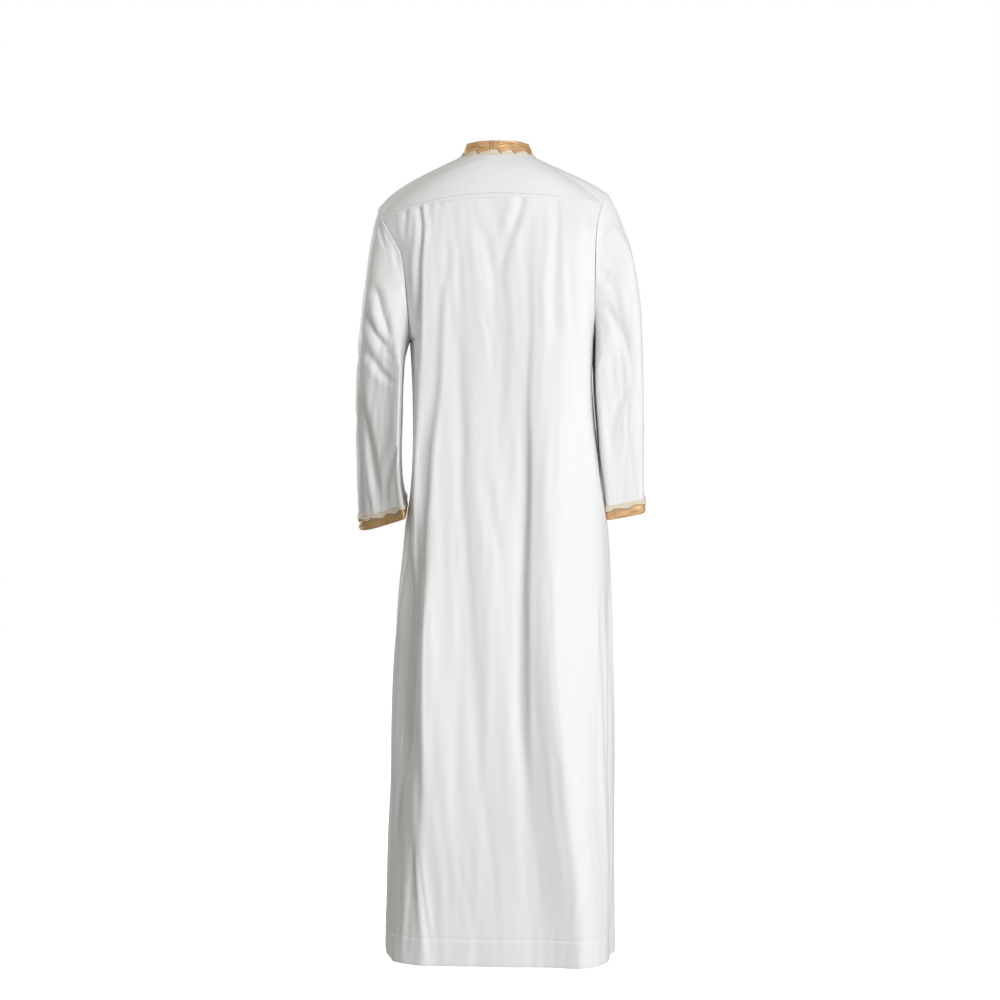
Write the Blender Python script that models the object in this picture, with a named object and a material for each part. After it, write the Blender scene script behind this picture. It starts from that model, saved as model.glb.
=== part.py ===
"""A long white thobe in its worn, hollow form, cut and sewn from thirteen pieces.

Metres, +Z up. The wearer's front faces -Y and the wearer's left is +X. The origin is the middle of
the neck opening, where the robe hangs from the wearer's shoulders. Heights in the tables are
measured up from the hem, because that is how a maker marks them, and are shifted to the origin last.
"""

import math
from collections import namedtuple

import bpy
import numpy as np

# ---------------------------------------------------------------- driving sizes
NECK_HEIGHT = 1.503  # back neck to hem
UNDERARM_HEIGHT = 1.157
CLOTH = 0.0015  # wall of the satin
HEM_DEPTH = 0.050  # the cloth is doubled below this height
STIFF_CLOTH = 0.0020  # interfaced collar
BRAID = 0.0012  # braid, gold bands and placket, each laid on a panel
SEAM_GAP = 0.0003
LAID_ON = 0.0005  # from a panel to what is sewn on top of it

NECK_HALF_WIDTH = 0.0694
NECK_SHIFT = 0.0047  # the neck sits this far to the wearer's left
NECK_BACK = 0.060
NECK_FRONT = 0.080
NECK_DROP = 0.062  # centre front below centre back

COLLAR_HEIGHT = 0.025
COLLAR_LEAN_SIDE = 0.011
COLLAR_LEAN_BACK = 0.006
COLLAR_LEAN_FRONT = 0.004
COLLAR_SEAM_ANGLE = math.radians(83)  # centre-back seam, a little to the left
FRONT_OPENING = 0.0012

YOKE_CENTRE_HEIGHT = 1.4217
YOKE_CENTRE_DEPTH = 0.112
YOKE_TURN_BACK = 0.405  # where the yoke seams meet the armhole, as a part of its turn
YOKE_TURN_FRONT = 0.590
UPPER_START_ANGLE = math.radians(42)

SLIT_LENGTH = 0.30
PLACKET_HALF_WIDTH = 0.019
PLACKET_LENGTH = 0.33

BAND_TOP = 0.95  # the place on a sleeve where its gold band begins
BRAID_ON_CLOTH = 0.0055
BRAID_WAVE = 0.033
CUFF_WAVE = 0.038
BRAID_LOW = 0.0015
BRAID_HIGH = 0.0070
BRAID_STEPS = 6  # points along one wave
CUFF_STEPS = 2  # points on the cuff braid between two columns of the sleeve

BACK_HALF_COLUMNS = 18
FRONT_NECK_COLUMNS = 8
UPPER_ROWS = 12
YOKE_ARMHOLE_COLUMNS = 5
YOKE_ROWS = 5
SLEEVE_ROWS = 16
COLLAR_COLUMNS = 18
SLEEVE_SQUARE = 4.0  # power of a sleeve's section: 2 is an ellipse, more is boxier
ELBOW_TURN = {1: 0.42, -1: 0.06}  # how much further back a sleeve's inner side lies, by side
SETTLE_SPAN = 0.045  # how far up and down the panels are evened out around the underarm
SETTLE_STEP = 0.005
FLATNESS = 0.84  # power of the sine and cosine of the body's ovals: 1 is an ellipse, less is flatter

# ---------------------------------------------------------------- tables
# The body, as ovals: half widths to the wearer's left and right, and depths behind and before.
Oval = namedtuple("Oval", "height left right back front seam")
BODY = (
    Oval(0.000, 0.2160, 0.2165, 0.190, 0.186, 10),
    Oval(0.130, 0.2135, 0.2160, 0.187, 0.180, 14),
    Oval(0.300, 0.2070, 0.2150, 0.177, 0.170, 20),
    Oval(0.470, 0.1995, 0.2140, 0.165, 0.160, 24),
    Oval(0.570, 0.1955, 0.2115, 0.158, 0.154, 26),
    Oval(0.660, 0.1900, 0.2105, 0.151, 0.149, 27),
    Oval(0.740, 0.1830, 0.2090, 0.145, 0.145, 25),
    Oval(0.800, 0.1785, 0.2050, 0.141, 0.143, 22),
    Oval(0.853, 0.1710, 0.1975, 0.137, 0.141, 18),
    Oval(0.930, 0.1665, 0.1880, 0.130, 0.139, 12),
    Oval(1.005, 0.1655, 0.1800, 0.125, 0.137, 7),
    Oval(1.080, 0.1670, 0.1752, 0.123, 0.135, 3),
    Oval(1.157, 0.1715, 0.1786, 0.125, 0.133, 0),
)

# How far each armhole seam stands from the middle, going up.
Edge = namedtuple("Edge", "height across")
ARMHOLE_LEFT = (
    Edge(1.157, 0.1715), Edge(1.200, 0.1725), Edge(1.240, 0.1755), Edge(1.280, 0.1795),
    Edge(1.320, 0.1880), Edge(1.350, 0.2050), Edge(1.380, 0.2210), Edge(1.407, 0.2300),
)
ARMHOLE_RIGHT = (
    Edge(1.157, 0.1786), Edge(1.240, 0.1780), Edge(1.310, 0.1785), Edge(1.360, 0.1815),
    Edge(1.395, 0.1880), Edge(1.418, 0.1970), Edge(1.4325, 0.2060),
)
ARMHOLE_HALF_DEPTH = 0.082
ARMHOLE_FRONT_SCOOP = 0.008

# The depth of the centre-back and centre-front lines above the underarm.
Centre = namedtuple("Centre", "height depth")
CENTRE_BACK = (
    Centre(1.157, 0.1250), Centre(1.220, 0.1275), Centre(1.280, 0.1280),
    Centre(1.350, 0.1235), Centre(YOKE_CENTRE_HEIGHT, YOKE_CENTRE_DEPTH),
)
CENTRE_FRONT = (
    Centre(1.157, 0.1330), Centre(1.240, 0.1320), Centre(1.320, 0.1240),
    Centre(1.380, 0.1080), Centre(NECK_HEIGHT - NECK_DROP, NECK_FRONT),
)

# The sleeves, as rings from the armhole to the wrist. "inner" faces the body and "outer" faces out.
Ring = namedtuple("Ring", "place inner inner_height outer outer_height middle half_depth pitch")
SLEEVE_LEFT = (
    Ring(0.00, 0.1715, 1.157, 0.2300, 1.407, 0.000, 0.082, 0.000),
    Ring(0.07, 0.1745, 1.140, 0.2395, 1.370, -0.001, 0.084, 0.000),
    Ring(0.15, 0.1765, 1.118, 0.2480, 1.322, -0.002, 0.085, 0.000),
    Ring(0.24, 0.1775, 1.092, 0.2560, 1.266, -0.004, 0.086, 0.002),
    Ring(0.34, 0.1780, 1.060, 0.2635, 1.200, -0.006, 0.086, 0.004),
    Ring(0.44, 0.1795, 1.026, 0.2700, 1.134, -0.008, 0.085, 0.005),
    Ring(0.54, 0.1825, 0.992, 0.2738, 1.068, -0.010, 0.083, 0.006),
    Ring(0.64, 0.1860, 0.955, 0.2746, 1.002, -0.014, 0.080, 0.008),
    Ring(0.74, 0.1880, 0.920, 0.2745, 0.940, -0.020, 0.076, 0.010),
    Ring(0.84, 0.1860, 0.886, 0.2735, 0.882, -0.028, 0.071, 0.012),
    Ring(0.95, 0.1805, 0.852, 0.2710, 0.826, -0.037, 0.066, 0.014),
    Ring(1.00, 0.1775, 0.831, 0.2698, 0.803, -0.041, 0.064, 0.014),
)
SLEEVE_RIGHT = (
    Ring(0.00, 0.1786, 1.157, 0.2060, 1.4325, 0.000, 0.082, 0.000),
    Ring(0.07, 0.1800, 1.138, 0.2235, 1.398, -0.001, 0.084, 0.000),
    Ring(0.15, 0.1815, 1.114, 0.2405, 1.352, -0.002, 0.085, 0.000),
    Ring(0.24, 0.1825, 1.088, 0.2525, 1.298, -0.004, 0.086, 0.002),
    Ring(0.34, 0.1835, 1.058, 0.2625, 1.234, -0.006, 0.086, 0.004),
    Ring(0.44, 0.1850, 1.026, 0.2670, 1.168, -0.008, 0.085, 0.005),
    Ring(0.54, 0.1870, 0.990, 0.2695, 1.102, -0.010, 0.083, 0.006),
    Ring(0.64, 0.1905, 0.954, 0.2712, 1.036, -0.014, 0.080, 0.008),
    Ring(0.74, 0.1950, 0.920, 0.2718, 0.972, -0.020, 0.076, 0.010),
    Ring(0.84, 0.2000, 0.886, 0.2722, 0.916, -0.028, 0.071, 0.011),
    Ring(0.95, 0.2040, 0.848, 0.2740, 0.862, -0.036, 0.066, 0.012),
    Ring(1.00, 0.2055, 0.826, 0.2752, 0.840, -0.040, 0.064, 0.012),
)

# Folds: which way the cloth faces there, how wide and deep, how strong at each end, and the line
# that the bottom of the trough or the crest of the ridge follows, as (across, height) points.
Fold = namedtuple("Fold", "face width depth start end path")
BACK_FOLDS = (
    # pleats that spring from the yoke seam
    Fold("back", 0.009, -0.0016, 0.8, 0.0, ((0.174, 1.410), (0.178, 1.370), (0.180, 1.333))),
    Fold("back", 0.009, -0.0030, 0.8, 0.1, ((0.149, 1.412), (0.143, 1.358), (0.150, 1.296),
                                            (0.1525, 1.222), (0.156, 1.100))),
    Fold("back", 0.010, -0.0022, 0.8, 0.0, ((-0.041, 1.420), (-0.022, 1.344))),
    Fold("back", 0.010, -0.0022, 0.8, 0.0, ((-0.101, 1.418), (-0.104, 1.360), (-0.099, 1.222),
                                            (-0.108, 1.120))),
    # hollows that deepen the steps of the sections
    Fold("back", 0.010, -0.0018, 0.1, 0.3, ((0.098, 1.320), (0.112, 1.222), (0.120, 1.060),
                                            (0.134, 0.950), (0.139, 0.853), (0.148, 0.760))),
    Fold("back", 0.010, -0.0038, 0.1, 0.2, ((-0.052, 1.30), (-0.051, 1.13), (-0.047, 1.038),
                                            (-0.050, 0.945), (-0.050, 0.853), (-0.0455, 0.76),
                                            (-0.0455, 0.58), (-0.050, 0.37), (-0.058, 0.25))),
    Fold("back", 0.016, -0.0016, 0.1, 0.4, ((0.076, 1.26), (0.073, 0.90), (0.062, 0.72),
                                            (0.048, 0.52), (0.036, 0.30), (0.020, 0.10))),
    # between the shoulder blades
    Fold("back", 0.010, -0.0016, 0.1, 0.2, ((0.046, 1.342), (0.018, 1.240))),
    Fold("back", 0.010, -0.0016, 0.1, 0.2, ((-0.028, 1.351), (-0.009, 1.200))),
    Fold("back", 0.022, -0.0020, 0.1, 0.2, ((0.006, 1.180), (0.006, 1.050), (0.000, 0.840))),
    # creases that fan out at the foot of the left side seam
    Fold("back", 0.012, -0.0016, 0.1, 1.0, ((0.155, 0.250), (0.171, 0.000))),
    Fold("back", 0.012, 0.0014, 0.1, 1.0, ((0.152, 0.250), (0.136, 0.000))),
    # the sides
    Fold("left", 0.030, -0.0120, 0.1, 0.3, ((0.085, 0.780), (0.090, 0.500), (0.100, 0.220))),
    Fold("left", 0.022, -0.0060, 0.1, 1.0, ((-0.030, 0.900), (-0.040, 0.450), (-0.060, 0.000))),
    Fold("right", 0.026, -0.0070, 0.1, 1.0, ((0.030, 0.780), (0.050, 0.400), (0.070, 0.000))),
    Fold("right", 0.022, -0.0050, 0.1, 1.0, ((-0.060, 0.760), (-0.070, 0.400), (-0.090, 0.000))),
)
FRONT_FOLDS = (
    Fold("front", 0.014, -0.0050, 0.1, 0.1, ((0.140, 1.300), (0.120, 1.200), (0.085, 1.120))),
    Fold("front", 0.014, -0.0050, 0.1, 0.1, ((-0.145, 1.310), (-0.122, 1.210), (-0.090, 1.120))),
    Fold("front", 0.016, -0.0060, 0.1, 0.8, ((0.100, 1.120), (0.115, 0.800), (0.110, 0.400),
                                            (0.128, 0.00))),
    Fold("front", 0.015, -0.0055, 0.1, 0.6, ((0.045, 1.050), (0.040, 0.700), (0.052, 0.350),
                                            (0.058, 0.00))),
    Fold("front", 0.016, -0.0080, 0.1, 1.0, ((-0.030, 0.980), (-0.025, 0.600), (-0.010, 0.300),
                                            (-0.012, 0.00))),
    Fold("front", 0.018, -0.0070, 0.1, 0.8, ((-0.095, 1.120), (-0.090, 0.800), (-0.078, 0.400),
                                            (-0.088, 0.00))),
    Fold("front", 0.018, -0.0060, 0.1, 1.0, ((-0.150, 0.850), (-0.145, 0.450), (-0.160, 0.00))),
    Fold("front", 0.014, 0.0050, 0.1, 1.0, ((0.160, 0.600), (0.165, 0.300), (0.172, 0.00))),
)
SLEEVE_LEFT_FOLDS = (
    Fold("back", 0.0112, -0.0037, 0.1, 0.2, ((0.236, 1.250), (0.207, 1.150))),
    Fold("back", 0.0112, -0.0034, 0.1, 0.2, ((0.254, 1.195), (0.209, 1.145))),
    Fold("back", 0.0125, -0.0034, 0.1, 0.2, ((0.260, 1.113), (0.205, 1.082))),
    Fold("back", 0.0137, -0.0037, 0.1, 0.2, ((0.262, 1.080), (0.241, 1.002), (0.224, 0.900))),
    Fold("back", 0.0088, -0.0026, 0.1, 0.2, ((0.244, 0.870), (0.242, 0.845))),
    Fold("front", 0.0137, -0.0045, 0.1, 0.2, ((0.250, 1.120), (0.200, 1.060))),
    Fold("front", 0.0137, -0.0041, 0.1, 0.2, ((0.258, 1.050), (0.205, 1.020))),
    Fold("front", 0.0125, -0.0030, 0.1, 0.2, ((0.235, 1.300), (0.200, 1.210))),
    Fold("left", 0.0150, -0.0020, 0.1, 0.2, ((0.040, 1.150), (-0.050, 1.080))),
    Fold("left", 0.0150, -0.0018, 0.1, 0.2, ((0.030, 1.020), (-0.060, 0.980))),
)
SLEEVE_RIGHT_FOLDS = (
    Fold("back", 0.0100, -0.0026, 0.1, 0.2, ((-0.199, 1.380), (-0.181, 1.325))),
    Fold("back", 0.0112, -0.0029, 0.1, 0.2, ((-0.182, 1.275), (-0.205, 1.270))),
    Fold("back", 0.0137, -0.0033, 0.1, 0.2, ((-0.185, 1.225), (-0.225, 1.170), (-0.238, 1.120))),
    Fold("back", 0.0137, -0.0029, 0.1, 0.2, ((-0.250, 1.080), (-0.215, 1.020), (-0.210, 0.930))),
    Fold("front", 0.0137, -0.0039, 0.1, 0.2, ((-0.252, 1.130), (-0.205, 1.070))),
    Fold("front", 0.0137, -0.0033, 0.1, 0.2, ((-0.258, 1.040), (-0.210, 1.010))),
    Fold("front", 0.0125, -0.0026, 0.1, 0.2, ((-0.225, 1.310), (-0.195, 1.220))),
    Fold("right", 0.0150, -0.0018, 0.1, 0.2, ((0.040, 1.170), (-0.050, 1.100))),
    Fold("right", 0.0150, -0.0016, 0.1, 0.2, ((0.030, 1.030), (-0.060, 0.990))),
)
# The section of the back at some heights, as a line of corners from the wearer's left to the right:
# where each stands across, and its depth as a share of the deepest point of the smooth row.
Section = namedtuple("Section", "height across depth")
SECTIONS = (
    Section(0.000, (0.198, 0.175, 0.130, 0.010, -0.030, -0.053, -0.085, -0.148, -0.176, -0.198, -0.2085),
            (0.38, 0.61, 0.83, 0.90, 0.92, 0.915, 0.925, 1.005, 0.92, 0.66, 0.40)),
    Section(0.130, (0.190, 0.170, 0.1385, 0.020, -0.022, -0.050, -0.078, -0.142, -0.172, -0.197, -0.208),
            (0.43, 0.65, 0.82, 0.88, 0.90, 0.895, 0.915, 1.03, 0.93, 0.66, 0.41)),
    Section(0.262, (0.186, 0.176, 0.144, 0.033, -0.015, -0.043, -0.065, -0.129, -0.160, -0.191, -0.2075),
            (0.42, 0.60, 0.84, 0.865, 0.90, 0.895, 0.925, 1.045, 0.94, 0.66, 0.41)),
    Section(0.373, (0.176, 0.164, 0.1400, 0.040, -0.002, -0.040, -0.061, -0.120, -0.152, -0.186, -0.207),
            (0.55, 0.70, 0.86, 0.86, 0.89, 0.885, 0.93, 1.06, 0.92, 0.65, 0.41)),
    Section(0.484, (0.171, 0.159, 0.1415, 0.048, 0.011, -0.034, -0.0555, -0.108, -0.148, -0.184, -0.206),
            (0.60, 0.73, 0.865, 0.84, 0.89, 0.885, 0.935, 1.065, 0.90, 0.65, 0.41)),
    Section(0.668, (0.166, 0.154, 0.139, 0.065, 0.0315, -0.033, -0.055, -0.096, -0.134, -0.174, -0.202),
            (0.62, 0.68, 0.85, 0.83, 0.885, 0.88, 0.935, 1.025, 0.92, 0.67, 0.41)),
    Section(0.761, (0.1645, 0.154, 0.132, 0.072, 0.0425, -0.036, -0.0575, -0.087, -0.129, -0.169, -0.200),
            (0.60, 0.62, 0.82, 0.81, 0.86, 0.86, 0.935, 0.99, 0.93, 0.70, 0.42)),
    Section(0.853, (0.1625, 0.149, 0.128, 0.076, 0.052, -0.043, -0.0605, -0.083, -0.125, -0.170, -0.191),
            (0.64, 0.65, 0.81, 0.80, 0.85, 0.855, 0.945, 0.985, 0.93, 0.72, 0.45)),
    Section(0.945, (0.1585, 0.146, 0.125, 0.0785, 0.0545, -0.043, -0.0605, -0.083, -0.125, -0.166, -0.1795),
            (0.66, 0.665, 0.82, 0.815, 0.865, 0.88, 0.975, 1.00, 0.95, 0.74, 0.48)),
    Section(1.038, (0.1535, 0.130, 0.115, 0.081, 0.062, -0.042, -0.060, -0.080, -0.125, -0.160, -0.1715),
            (0.745, 0.765, 0.83, 0.83, 0.865, 0.895, 0.95, 0.985, 0.94, 0.78, 0.52)),
    Section(1.130, (0.149, 0.124, 0.110, 0.080, 0.066, -0.048, -0.066, -0.090, -0.125, -0.160, -0.1715),
            (0.825, 0.845, 0.875, 0.88, 0.90, 0.94, 0.98, 0.98, 0.94, 0.80, 0.60)),
    Section(1.222, (0.146, 0.120, 0.105, 0.081, 0.067, -0.050, -0.066, -0.090, -0.125, -0.158, -0.172),
            (0.888, 0.897, 0.915, 0.92, 0.94, 0.97, 1.00, 1.00, 0.955, 0.86, 0.72)),
    Section(1.370, (0.1455, 0.120, 0.105, 0.080, 0.066, -0.050, -0.066, -0.090, -0.125, -0.160, -0.172),
            (0.905, 0.925, 0.935, 0.95, 0.96, 1.00, 1.005, 1.00, 0.97, 0.90, 0.80)),
)
CORNER_ROUNDING = (0.008, 0.012, 0.010, 0.018, 0.018, 0.014, 0.010, 0.014, 0.030, 0.030, 0.020)

FACES = {"back": (0, 1), "front": (0, -1), "left": (1, 0), "right": (-1, 0)}

WHITE = (0.86, 0.86, 0.87, 1.0)
GOLD = (0.72, 0.52, 0.26, 1.0)
IVORY = (0.86, 0.80, 0.68, 1.0)


# ---------------------------------------------------------------- helpers
def table_value(rows, column, at):
    """A column of a table at a key, on a smooth curve through the rows. The key is column one."""
    keys = np.array([row[0] for row in rows])
    values = np.array([getattr(row, column) for row in rows])
    slopes = np.gradient(values, keys, axis=0)
    low = np.clip(np.searchsorted(keys, at) - 1, 0, len(keys) - 2)
    span = keys[low + 1] - keys[low]
    f = np.clip((at - keys[low]) / span, 0, 1)
    rise = (values[low + 1] - values[low]) * f * f * (3 - 2 * f)
    bend = span * (slopes[low] * f * (1 - f) ** 2 - slopes[low + 1] * f * f * (1 - f))
    return values[low] + rise + bend


def ease(value, low, high):
    """0 below low, 1 above high, smooth between."""
    f = np.clip((value - low) / (high - low), 0, 1)
    return f * f * (3 - 2 * f)


def unit(vectors):
    return vectors / np.linalg.norm(vectors, axis=-1, keepdims=True)


def grid_normals(grid, closed=False):
    """Outward normals of a grid whose columns run to the right seen from outside and rows go up."""
    if closed:
        wide = np.concatenate([grid[:, -1:], grid, grid[:, :1]], axis=1)
        along = (wide[:, 2:] - wide[:, :-2]) / 2
    else:
        along = np.gradient(grid, axis=1)
    return unit(np.cross(along, np.gradient(grid, axis=0)))


def path_distance(across, height, path):
    """How far each point is from a path, and how far along the path the nearest place is, 0 to 1."""
    points = np.array(path)
    steps = np.diff(points, axis=0)
    lengths = np.linalg.norm(steps, axis=1)
    starts = np.concatenate([[0], np.cumsum(lengths)])
    best = np.full(across.shape, np.inf)
    place = np.zeros(across.shape)
    for point, step, length, start in zip(points, steps, lengths, starts):
        along = ((across - point[0]) * step[0] + (height - point[1]) * step[1]) / length**2
        along = np.clip(along, 0, 1)
        gap = np.hypot(across - point[0] - along * step[0], height - point[1] - along * step[1])
        nearer = gap < best
        best = np.where(nearer, gap, best)
        place = np.where(nearer, (start + along * length) / starts[-1], place)
    return best, place


def fold_offset(points, normals, folds):
    """How far the folds push each point out along its normal."""
    total = np.zeros(points.shape[:-1])
    for fold in folds:
        side, behind = FACES[fold.face]
        facing = normals[..., 0] * side + normals[..., 1] * behind
        across = points[..., 0] if behind else points[..., 1]
        gap, place = path_distance(across, points[..., 2], fold.path)
        gap = gap / fold.width
        trough = np.exp(-(gap**2)) - 0.35 * np.exp(-((gap - 1.8) ** 2))
        strength = fold.start + (1 - fold.start) * ease(place, 0, 0.25)
        strength = strength + (fold.end - 1) * ease(place, 0.75, 1)
        total += fold.depth * trough * strength * ease(facing, 0.1, 0.5)
    return total


# ---------------------------------------------------------------- the lines of the pattern
def neck_point(angle):
    """The neck seam at an angle from the wearer's left, 90 degrees at the back."""
    side, behind = np.cos(angle), np.sin(angle)
    depth = np.where(behind > 0, NECK_BACK, NECK_FRONT)
    drop = NECK_DROP * np.maximum(-behind, 0) ** 2
    x = NECK_SHIFT + NECK_HALF_WIDTH * side
    return np.stack([x, depth * behind, NECK_HEIGHT - drop], axis=-1)


def neck_slope(angle):
    """The direction in which the cloth leaves the neck seam, out and down."""
    side, behind = np.cos(angle), np.sin(angle)
    flat = 0.90 - 0.12 * behind**2 - 0.16 * np.maximum(-behind, 0) ** 2
    return np.stack([side * flat, behind * flat, -np.sqrt(1 - flat**2)], axis=-1)


def armhole_point(side, turn):
    """The armhole seam: turn 0 at the underarm, 0.25 behind, 0.5 on the shoulder, 0.75 before."""
    edges = ARMHOLE_LEFT if side > 0 else ARMHOLE_RIGHT
    low, high = edges[0].height, edges[-1].height
    round_angle = 2 * math.pi * np.asarray(turn, float)
    height = (low + high) / 2 - (high - low) / 2 * np.cos(round_angle)
    depth = ARMHOLE_HALF_DEPTH * np.sin(round_angle)
    scoop = ARMHOLE_FRONT_SCOOP * np.maximum(-np.sin(round_angle), 0)
    return np.stack([side * (table_value(edges, "across", height) - scoop), depth, height], axis=-1)


def flattened(value):
    """A sine or cosine of an oval whose back, front and sides are flatter than an ellipse's."""
    return np.sign(value) * np.abs(value) ** FLATNESS


def half_row(end, centre, start_angle, fractions):
    """Points from a side seam or armhole to the centre line, along part of a flattened oval."""
    angle = start_angle + np.asarray(fractions) * (math.pi / 2 - start_angle)
    start = flattened(math.sin(start_angle))
    across = flattened(np.cos(angle)) / flattened(math.cos(start_angle))
    bulge = (flattened(np.sin(angle)) - start) / (1 - start)
    x = centre[0] + (end[0] - centre[0]) * across
    y = end[1] + (centre[1] - end[1]) * bulge
    z = end[2] + (centre[2] - end[2]) * (1 - across**2)
    return np.stack([x, y, z], axis=-1)


def full_row(left, right, centre, angles, fractions):
    """A row of a panel from the wearer's left end to the right end, through the centre line.

    The fractions place the columns of the left half and of the right half.
    """
    left_half = half_row(left, centre, angles[0], fractions[0])
    right_half = half_row(right, centre, angles[1], fractions[1])
    return np.concatenate([left_half, right_half[-2::-1]])


def lower_row(height, front, fractions):
    """A row below the underarm."""
    seam = math.radians(table_value(BODY, "seam", height))
    back = table_value(BODY, "back", height)
    depth = table_value(BODY, "front", height)
    left = table_value(BODY, "left", height)
    right = table_value(BODY, "right", height)
    left_end = (left * flattened(math.cos(seam)), back * flattened(math.sin(seam)), height)
    right_end = (-right, 0.0, height)
    centre = (0.0, -depth if front else back, height)
    return full_row(left_end, right_end, centre, (-seam if front else seam, 0.0), fractions)


def upper_row(turn_share, front, fractions):
    """A row between the underarm and the yoke, from armhole to armhole."""
    last = 1 - YOKE_TURN_FRONT if front else YOKE_TURN_BACK
    turn = turn_share * last
    rise = (1 - math.cos(2 * math.pi * turn)) / (1 - math.cos(2 * math.pi * last))
    table = CENTRE_FRONT if front else CENTRE_BACK
    centre_height = UNDERARM_HEIGHT + rise * (table[-1].height - UNDERARM_HEIGHT)
    depth = table_value(table, "depth", centre_height)
    angle = UPPER_START_ANGLE * math.sin(min(2 * math.pi * turn, math.pi / 2))
    ends = [armhole_point(side, 1 - turn if front else turn) for side in (1, -1)]
    middle = NECK_SHIFT * rise
    centre = (middle, -depth if front else depth, centre_height)
    return full_row(ends[0], ends[1], centre, (angle, angle), fractions)


def lower_heights():
    """Heights of the rows below the underarm: the hem, its fold line twice, then even steps."""
    hem = [0.0, HEM_DEPTH - 0.001, HEM_DEPTH]
    return hem + list(np.linspace(HEM_DEPTH, UNDERARM_HEIGHT, 18)[1:])


def shoulder_end_slope(side, angle):
    """The direction in which a shoulder line arrives at the armhole or the yoke seam."""
    across, behind = np.cos(angle), np.sin(angle)
    at_side = 0.62 if side > 0 else 0.80
    flat = at_side + (0.25 - at_side) * behind**2
    return np.stack([across * flat, behind * flat, -np.sqrt(1 - flat**2)], axis=-1)


def shoulder_line(start, end, start_slope, end_slope, shares):
    """A smooth line from the neck seam (share 0) to the outer edge of the yoke (share 1)."""
    shares = np.asarray(shares)[:, None]
    length = np.linalg.norm(end - start)
    blend = shares * shares * (3 - 2 * shares)
    leave = shares * (1 - shares) ** 2 * length
    arrive = shares * shares * (1 - shares) * length
    return start + (end - start) * blend + leave * start_slope - arrive * end_slope


YOKE_NECK_ANGLES = (math.radians(-26), math.radians(24))  # front seam, armhole and yoke seam corner


def front_seam(side, shares):
    """The front yoke seam, from the neck (share 0) to the armhole (share 1)."""
    angle = YOKE_NECK_ANGLES[0] if side > 0 else math.pi - YOKE_NECK_ANGLES[0]
    end = armhole_point(side, YOKE_TURN_FRONT)
    return shoulder_line(neck_point(angle), end, neck_slope(angle), shoulder_end_slope(side, angle), shares)


# ---------------------------------------------------------------- panels as grids of points
def even_fractions():
    """Columns of the back, the same on both halves."""
    half = np.linspace(0, 1, BACK_HALF_COLUMNS + 1)
    return half, half


def settle(grid):
    """Evens out each column of a panel around the underarm, so that no crease runs across there.

    A column's places are read at even heights, averaged over SETTLE_SPAN and put back. The side
    columns stay on their seams, and the ones next to them follow in part.
    """
    reach = 8 * SETTLE_SPAN
    even = np.arange(UNDERARM_HEIGHT - reach, UNDERARM_HEIGHT + reach, SETTLE_STEP)
    half = round(3 * SETTLE_SPAN / SETTLE_STEP)
    share = np.exp(-((np.arange(-half, half + 1) * SETTLE_STEP / SETTLE_SPAN) ** 2) / 2)
    share /= share.sum()
    rows, columns = grid.shape[:2]
    below_top = ease(np.arange(rows)[::-1], 0, 3)
    for column in range(1, columns - 1):
        height = grid[:, column, 2].copy()
        strength = np.exp(-(((height - UNDERARM_HEIGHT) / (3 * SETTLE_SPAN)) ** 2)) * below_top
        strength *= ease(min(column, columns - 1 - column), 0, 4)
        for axis in (0, 1):
            values = np.interp(even, height, grid[:, column, axis])
            values = np.convolve(np.pad(values, half, mode="edge"), share, mode="valid")
            settled = np.interp(height, even, values)
            grid[:, column, axis] += (settled - grid[:, column, axis]) * strength
    return grid


def rounded_line(corners, rounding):
    """A line through corners in a plane, each rounded off as far as its two sides allow."""
    steps = np.diff(corners, axis=0)
    lengths = np.linalg.norm(steps, axis=1)
    parts = [corners[:1]]
    t = np.linspace(0, 1, 9)[:, None]
    for number, radius in enumerate(rounding, start=1):
        before = min(radius, lengths[number - 1] / 2)
        after = min(radius, lengths[number] / 2)
        start = corners[number] - steps[number - 1] / lengths[number - 1] * before
        end = corners[number] + steps[number] / lengths[number] * after
        parts.append(start * (1 - t) ** 2 + 2 * corners[number] * t * (1 - t) + end * t**2)
    return np.concatenate(parts + [corners[-1:]])


def run_along(points):
    """The distance from the first point to each point of a line."""
    steps = np.linalg.norm(np.diff(points, axis=0), axis=1)
    return np.concatenate([[0], np.cumsum(steps)])


def hung(grid):
    """The smooth back laid out again along its sections. The seams stay where they are."""
    hanging = grid.copy()
    for number, row in enumerate(grid):
        height = row[:, 2].mean()
        below_yoke = np.linalg.norm(np.diff(grid[number:], axis=0), axis=-1).sum(axis=0).mean()
        strength = ease(below_yoke, 0.0, 0.080)
        across = table_value(SECTIONS, "across", height)
        depth = table_value(SECTIONS, "depth", height) * row[:, 1].max()
        line = np.stack([across, depth], axis=1)
        line = rounded_line(np.concatenate([row[:1, :2], line, row[-1:, :2]]), CORNER_ROUNDING)
        run, places = run_along(line), run_along(row[:, :2])
        places = places / places[-1] * run[-1]
        for axis in (0, 1):
            moved = np.interp(places, run, line[:, axis]) - row[:, axis]
            hanging[number, :, axis] += moved * strength
    return hanging


def back_grid():
    """The back, rows from hem to yoke seam. Columns from the wearer's left to right."""
    fractions = even_fractions()
    rows = [lower_row(height, False, fractions) for height in lower_heights()]
    rows += [upper_row(share, False, fractions) for share in np.linspace(0, 1, UPPER_ROWS + 1)[1:]]
    return hung(settle(np.array(rows)))


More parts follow.
